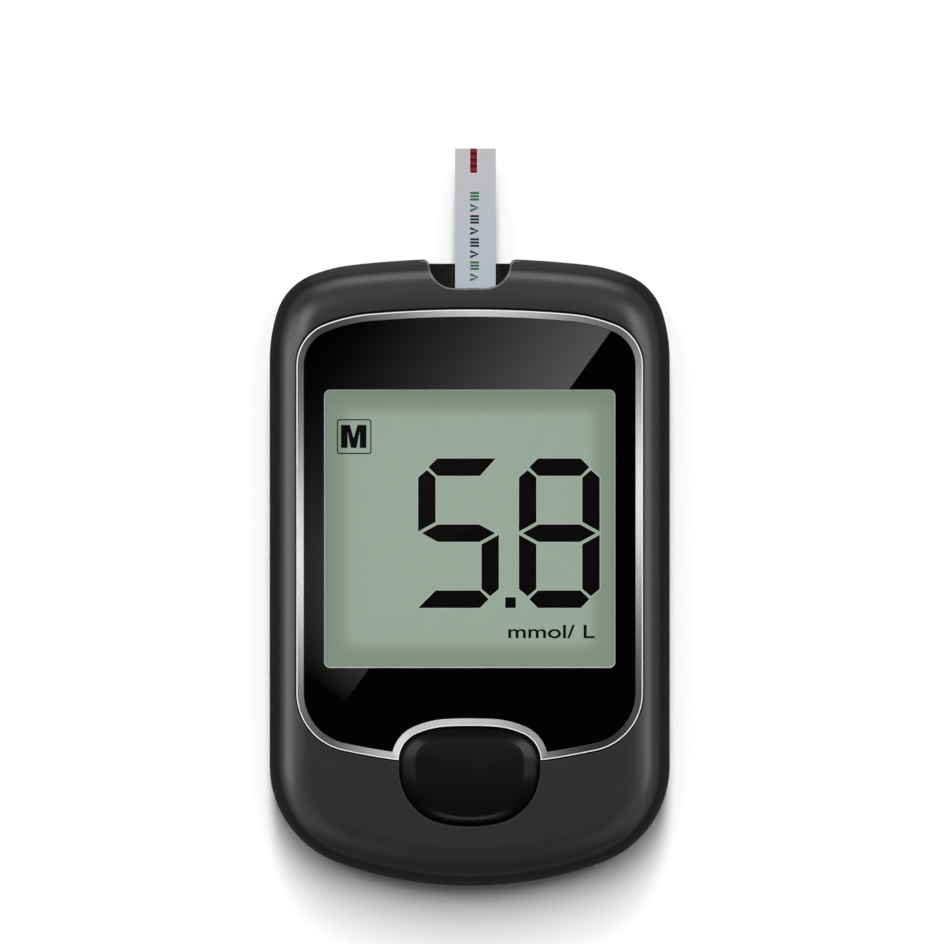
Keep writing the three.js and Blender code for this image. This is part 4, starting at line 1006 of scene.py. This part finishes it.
def build_rear_cover():
    rows = [
        *back_levels(0, 0), (0, PARTING_Z - PARTING_CHAMFER), (PARTING_CHAMFER, PARTING_Z), (WALL, PARTING_Z),
        *back_levels(WALL, WALL)[::-1],
    ]
    loops = [whole(lifted(HOUSING.points(BACK_POINTS, inset), z)) for inset, z in rows]
    shell = new_object("rear_cover_shell", *capped_solid(loops))
    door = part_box("battery_door")
    doorway = rounded_rectangle(*door, DOOR_CORNER, BACK_GAP)
    rim_outside = rounded_rectangle(*door, DOOR_CORNER, BACK_GAP + DOOR_LAND)
    rim_inside = rounded_rectangle(*door, DOOR_CORNER, BACK_GAP - DOOR_LEDGE, BACK_GAP - DOOR_HINGE_LEDGE)
    carve(shell, [new_object("rim", *prism(rim_outside, RIM_LOW, RIM_HIGH))], "UNION")
    through, above = -CUT_EXTRA, PARTING_Z + CUT_EXTRA
    cuts = [("doorway", doorway, through, WALL), ("rim_hole", rim_inside, 0, RIM_HIGH + CUT_EXTRA)]
    for name in numbered("housing_screw", 4):
        low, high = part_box(name)
        x, y = (low.x + high.x) / 2, (low.y + high.y) / 2
        recess = disc(x, y, (high.x - low.x) / 2 + BACK_GAP)
        cuts.append(("screw_recess", recess, through, WALL + CUT_EXTRA))
    low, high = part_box("strip_port_guide")
    side, far = high.x + BACK_GAP, HOUSING_TOP + CUT_EXTRA
    for name, near, foot in (("port_seat", low.y - BACK_GAP, low.z), ("port_face", high.y, through)):
        square = np.array([(-side, near), (side, near), (side, far), (-side, far)])
        cuts.append((name, square, foot, above))
    carve(shell, [new_object(name, *prism(outline, foot, head)) for name, outline, foot, head in cuts])
    finish_piece(shell, "meter_body", HOUSING_PLASTIC_PAINTED_SHADE, "housing_plastic", 30)
    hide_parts("rear_cover")


# Display contents: seven-segment digits, the unit and the memory mark

def segment_outlines(left, base, lit):
    """Outlines of the lit segments of one digit."""
    w, h, t = DIGIT_WIDTH, DIGIT_HEIGHT, DIGIT_STROKE
    tip, gap, mid = t / 2, SEGMENT_GAP / 2, h / 2
    end = tip + gap
    start, shoulder = MIDDLE_BAR_INSET, MIDDLE_BAR_INSET + MIDDLE_BAR_TIP

    def flip_x(points):
        return [(w - x, y) for x, y in points]

    def flip_y(points):
        return [(x, h - y) for x, y in points]

    top_left = [(end + tip, h - t), (end, h - tip), (end + tip, h)]
    half_middle = [(shoulder, mid - tip), (start, mid), (shoulder, mid + tip)]
    bar = {
        "top": top_left + flip_x(top_left)[::-1],
        "top_open": [*top_left, (w - OPEN_BAR_INSET, h), (w - t - gap, h - t)],
        "bottom_open": [(w - end, tip), (w - end - tip, 0), (0, 0), (t, t), (w - end - tip, t)],
        "middle": half_middle + flip_x(half_middle)[::-1],
        "upper_left": [
            (0, mid + gap), (t, mid + tip + gap * SIDE_GAP_MIDDLE), (t, h - t - gap),
            (tip, h - tip - gap * SIDE_GAP_END), (0, h - t - gap),
        ],
    }
    bar["bottom"] = flip_y(bar["top"])
    bar["lower_left"] = flip_y(bar["upper_left"])
    bar["upper_right"] = flip_x(bar["upper_left"])
    bar["lower_right"] = flip_x(bar["lower_left"])
    return [[(left + x, base + y) for x, y in bar[name]] for name in lit]


def grown(outline, reach):
    """A convex outline moved out by a reach, corner by corner."""
    points = np.array(outline)
    if cross(points, np.roll(points, -1, 0)).sum() < 0:
        points = points[::-1]
    edge = np.roll(points, -1, 0) - points
    edge /= np.hypot(*edge.T)[:, None]
    normal = np.column_stack([edge[:, 1], -edge[:, 0]])
    before = np.roll(normal, 1, 0)
    lean = 1 + (normal * before).sum(1)
    return points + reach * (normal + before) / lean[:, None]


def build_digits():
    base = photo_point(0, DIGIT_BASE_PX)[1]
    five = ("top_open", "middle", "bottom_open", "upper_left", "lower_right")
    eight = ("top", "middle", "bottom", "upper_left", "lower_left", "upper_right", "lower_right")
    outlines = []
    for left_px, lit in zip(DIGIT_LEFTS_PX, (five, eight)):
        outlines += segment_outlines(photo_point(left_px, 0)[0], base, lit)
    left = photo_point(POINT_LEFT_PX, 0)[0]
    outlines.append([(left + x, base + y) for x, y in (
        (0, 0), (POINT_SIDE, 0), (POINT_SIDE, POINT_SIDE), (0, POINT_SIDE))])
    halos, segments = ([grown(outline, reach) for outline in outlines] for reach in (HALO, 0))
    decal("digit_halo", halos, HALO_PALE, HALO_THICKNESS, *ON_DISPLAY)
    decal("digit_segments", segments, SEGMENT_BLACK, SEGMENT_THICKNESS, *ON_DISPLAY)


def build_memory_mark():
    low, high = (photo_point(*corner) for corner in MARK_FRAME_PX)
    outer = rounded_rectangle(low, high, MARK_CORNER)
    inner = rounded_rectangle(low, high, MARK_CORNER - MARK_LINE, -MARK_LINE)
    foot, head = DISPLAY_FACE, DISPLAY_FACE + SEGMENT_THICKNESS
    shape = ring_solid([lifted(outer, foot), lifted(outer, head), lifted(inner, head), lifted(inner, foot)])
    mesh_piece("memory_frame", shape, "meter_body", SEGMENT_BLACK, "display_glass")
    (left, low), (right, high) = (photo_point(*corner) for corner in MARK_LETTER_PX)
    letter = [(left + (right - left) * x, low + (high - low) * y) for x, y in MARK_LETTER_SHARES]
    decal("memory_letter", [letter[::-1]], SEGMENT_BLACK, SEGMENT_THICKNESS, *ON_DISPLAY)


def build_unit():
    left, base = photo_point(*UNIT_START_PX)
    right = photo_point(UNIT_END_PX, 0)[0]
    curve = bpy.data.curves.new("unit_text", "FONT")
    curve.body = "mmol/ L"
    curve.size = 1.0
    curve.offset = UNIT_BOLDER
    holder = in_scene(bpy.data.objects.new("unit_holder", curve))
    depsgraph = bpy.context.evaluated_depsgraph_get()
    flat = bpy.data.meshes.new_from_object(holder.evaluated_get(depsgraph))
    bpy.data.objects.remove(holder)
    points = np.array([v.co[:2] for v in flat.vertices])
    (start, _), (end, top) = points.min(0), points.max(0)
    scale_x, scale_y = (right - left) / (end - start), UNIT_HEIGHT / top
    for vertex in flat.vertices:
        x, y = (vertex.co.x - start) * scale_x, vertex.co.y * scale_y
        vertex.co = (left + x, base + y, DISPLAY_FACE + SEGMENT_THICKNESS)
    piece = in_scene(bpy.data.objects.new("unit_text", flat))
    thick = piece.modifiers.new("thick", "SOLIDIFY")
    thick.thickness = SEGMENT_THICKNESS
    thick.offset = -1
    finish_piece(piece, "meter_body", SEGMENT_BLACK, "display_glass")


def build_strip_print():
    middle, high = photo_point(PRINT_MIDDLE_PX, PRINT_TOP_PX)
    left, right = middle - PRINT_HALF_WIDTH, middle + PRINT_HALF_WIDTH
    green, dark = [], []
    for index in range(PRINT_MARKS):
        home = green if index in PRINT_GREEN_MARKS else dark
        low = high - PRINT_MARK_LENGTH
        if index % 2:
            tip = (low + high) / 2
            home.append([(left, high), (left, high - CHEVRON_LINE), (right - PRINT_LINE, tip),
                         (left, low + CHEVRON_LINE), (left, low), (right, tip)])
        else:
            for foot in np.linspace(low, high - PRINT_LINE, 3):
                head = foot + PRINT_LINE
                home.append([(left, foot), (right, foot), (right, head), (left, head)])
        high -= PRINT_PITCH
    decal("strip_marks_green", green, INK_GREEN, PRINT_THICKNESS, *ON_STRIP)
    decal("strip_marks_dark", dark, INK_DARK, PRINT_THICKNESS, *ON_STRIP)
    low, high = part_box("sample_chamber")
    left, right, foot = low.x - CHAMBER_MARGIN, high.x + CHAMBER_MARGIN, low.y - CHAMBER_MARGIN
    sides = [[(left, foot), (low.x, foot), (low.x, high.y), (left, high.y)],
             [(high.x, foot), (right, foot), (right, high.y), (high.x, high.y)],
             [(low.x, foot), (high.x, foot), (high.x, low.y), (low.x, low.y)]]
    decal("chamber_margin", sides, CHAMBER_PALE, CHAMBER_MARGIN_THICKNESS, *ON_STRIP)


# Nodes that keep their own solid get a softened edge and their finish

def numbered(stem, count):
    return [f"{stem}_{number}" for number in range(1, count + 1)]


FINISHES = (
    # nodes, material, bevel in mm
    (["battery_door"], HOUSING_PLASTIC_PAINTED_SHADE, 0.12),
    (numbered("housing_screw", 4), SCREW_STEEL, 0.06),
    (["lens_adhesive"], INNER_BLACK, 0),
    (["lcd_front_glass"], DISPLAY_GREEN_PAINTED_SHADE, 0.05),
    (["lcd_rear_glass"], REAR_GLASS, 0),
    (["lcd_reflector_film"], FILM_GREEN, 0),
    (["lcd_holder", "switch_plunger"], WHITE_PLASTIC, 0.1),
    (["lcd_contact_elastomer"], ELASTOMER, 0),
    (["main_board"], BOARD_GREEN, 0),
    (["microcontroller_chip", "memory_chip", "analogue_front_end_chip"], INNER_BLACK, 0.08),
    (["quartz_crystal"], SCREW_STEEL, 0.15),
    (["tact_switch_body", "strip_connector_body", "battery_holder"], INNER_BLACK, 0.1),
    (["strip_port_guide"], GUIDE_PLASTIC, 0.12),
    (numbered("strip_contact", 5), CONTACT_GOLD, 0.03),
    (["strip_base", "strip_film"], STRIP_PLASTIC, 0.03),
    (["sample_chamber"], CHAMBER_RED, 0.02),
    (["coin_cell"], CELL_STEEL, 0.1),
    (["battery_negative_contact", "battery_positive_contact"], CELL_STEEL, 0.03),
)
WELD_DISTANCE = 0.002 * MM
BEVEL_FROM_DEGREES = 35


def dress(piece, material, bevel):
    piece.data.materials.clear()
    piece.data.materials.append(material)
    weld = piece.modifiers.new("weld", "WELD")
    weld.merge_threshold = WELD_DISTANCE
    if bevel:
        soft = piece.modifiers.new("soft_edges", "BEVEL")
        soft.width = bevel
        soft.segments = 3
        soft.limit_method = "ANGLE"
        soft.angle_limit = math.radians(BEVEL_FROM_DEGREES)
        soft.harden_normals = True


def dress_nodes():
    for names, material, bevel in FINISHES:
        for name in names:
            dress(NODES[name], material, bevel * MM)
    NODES["lens_adhesive"].visible_shadow = False


# Stage: camera, floor, world and lamps

CAMERA_X, CAMERA_Y = photo_point(PHOTO_SIDE_PX / 2, PHOTO_SIDE_PX / 2)
CAMERA_Z = FOCUS_Z + PHOTO_SIDE_PX * PX * LENS_MM / SENSOR_MM
CARD_Z = CAMERA_Z + CARD_RISE


def build_camera():
    bpy.context.scene.view_settings.view_transform = "Standard"
    data = bpy.data.cameras.new("camera")
    data.lens = LENS_MM
    data.sensor_width = SENSOR_MM
    data.clip_end = CLIP_END
    camera = in_scene(bpy.data.objects.new("camera", data))
    camera.location = (CAMERA_X, CAMERA_Y, CAMERA_Z)
    bpy.context.scene.camera = camera


def white_floor(tree):
    """White to the rays that show the background: camera, glossy and transmission rays. Darker to light."""
    path = tree.nodes.new("ShaderNodeLightPath").outputs
    shown = maths(tree, "MAXIMUM", path["Is Camera Ray"], path["Is Glossy Ray"])
    shown = maths(tree, "MAXIMUM", shown, path["Is Transmission Ray"])
    plain, white = (add(tree, "BsdfDiffuse", Color=rgba(level)) for level in (FLOOR_BOUNCE, 1))
    return add(tree, "MixShader", shown, plain, white)


def build_floor():
    side = FLOOR_HALF
    corners = [(-side, -side, 0), (side, -side, 0), (side, side, 0), (-side, side, 0)]
    material = surface("floor_white", white_floor)
    floor = mesh_piece("floor", (corners, [(0, 1, 2, 3)]), None, material, None)
    floor.location.z = FLOOR_Z


def build_world():
    """White to the camera. In gloss it is white at the horizon and dark overhead, like a dark ceiling."""
    world = bpy.data.worlds.new("studio")
    bpy.context.scene.world = world
    world.use_nodes = True
    tree = world.node_tree
    direction = axes(tree, place(tree, "Generated"))
    by_height = spread(tree, direction["Z"], *HORIZON_BY_HEIGHT)
    by_side = spread(tree, direction["Y"], *HORIZON_BY_SIDE)
    path = tree.nodes.new("ShaderNodeLightPath").outputs
    level = mixed(tree, path["Is Glossy Ray"], FILL, maths(tree, "MULTIPLY", by_height, by_side), "FLOAT")
    for ray in ("Is Transmission Ray", "Is Camera Ray"):
        level = mixed(tree, path[ray], level, 1.0, "FLOAT")
    background = tree.nodes["Background"]
    tree.links.new(level, background.inputs["Strength"])
    background.inputs["Color"].default_value = (1, 1, 1, 1)


def sphere_point(azimuth, elevation, distance):
    azimuth, elevation = math.radians(azimuth), math.radians(elevation)
    flat = distance * math.cos(elevation)
    return Vector((flat * math.cos(azimuth), flat * math.sin(azimuth), distance * math.sin(elevation)))


def build_key():
    for azimuth, fan in KEY_FANS:
        for elevation, share in fan:
            sun = bpy.data.lights.new("key", "SUN")
            sun.energy = KEY_LEVEL * share * math.pi / math.sin(math.radians(elevation))
            sun.angle = math.radians(KEY_ANGLE)
            key = in_scene(bpy.data.objects.new("key", sun))
            key.location = sphere_point(azimuth, elevation, 1.0)
            key.rotation_mode = "QUATERNION"
            key.rotation_quaternion = (-key.location).to_track_quat("-Z", "Y")
            key.visible_glossy = False


def build_gloss_lamps(name, places, button_state, button_cap):
    """Lamps that are seen in gloss alone. Those for the button and those for the rest are kept apart."""
    lit = bpy.data.collections.new(name)
    lit.objects.link(button_cap)
    lit.collection_objects[0].light_linking.link_state = button_state
    for azimuth, elevation, width, height, brightness in places:
        light = bpy.data.lights.new(name, "AREA")
        light.shape = "RECTANGLE"
        light.size, light.size_y = width, height
        light.energy = brightness * width * height * math.pi
        lamp = in_scene(bpy.data.objects.new(name, light))
        lamp.location = sphere_point(azimuth, elevation, LAMP_DISTANCE)
        lamp.rotation_euler = (math.radians(90 - elevation), 0, math.radians(azimuth + 90))
        lamp.visible_diffuse = lamp.visible_camera = False
        lamp.light_linking.receiver_collection = lit


def mirrored(px, py):
    """The place, on the card's plane, whose mirror image the camera sees at a pixel of the lens."""
    x, y = photo_point(px, py)
    share = (CARD_Z - LENS_HIGH.z) / (CAMERA_Z - LENS_HIGH.z)
    return Vector((x + (x - CAMERA_X) * share, y + (y - CAMERA_Y) * share, CARD_Z))


def build_card():
    """A softly lit card above the camera. Its straight edge is what the lens shows as a diagonal line."""
    start, stop = (mirrored(*point) for point in CARD_LINE_PX)
    scale = (stop - start).length / math.dist(*CARD_LINE_PX)
    depth, (low, high) = CARD_DEPTH_PX * scale, (end * scale for end in CARD_ENDS_PX)
    fade = [end * scale for end in CARD_FADE_PX]

    def glow(tree):
        spot = axes(tree, place(tree))
        across = maths(tree, "POWER", spread(tree, spot["X"], 1, 0, 0, depth), CARD_FALLOFF)
        along = spread(tree, spot["Y"], CARD_STRENGTH, 0, *fade)
        return add(tree, "Emission", Strength=maths(tree, "MULTIPLY", across, along))

    corners = [(0, low, 0), (depth, low, 0), (depth, high, 0), (0, high, 0)]
    material = surface("overhead_card", glow)
    card = mesh_piece("overhead_card", (corners, [(0, 1, 2, 3)]), None, material, None)
    along_y = (stop - start).normalized()
    card.location = start
    card.rotation_euler.z = math.atan2(-along_y.x, along_y.y)
    card.visible_camera = card.visible_diffuse = card.visible_shadow = card.visible_transmission = False


build_front_cover()
build_rear_cover()
build_ring()
build_lens()
cap = build_button()
build_digits()
build_memory_mark()
build_unit()
build_strip_print()
dress_nodes()
build_camera()
build_floor()
build_world()
build_key()
build_gloss_lamps("housing", GLOSS_LAMPS, "EXCLUDE", cap)
build_gloss_lamps("button", BUTTON_LAMPS, "INCLUDE", cap)
build_card()
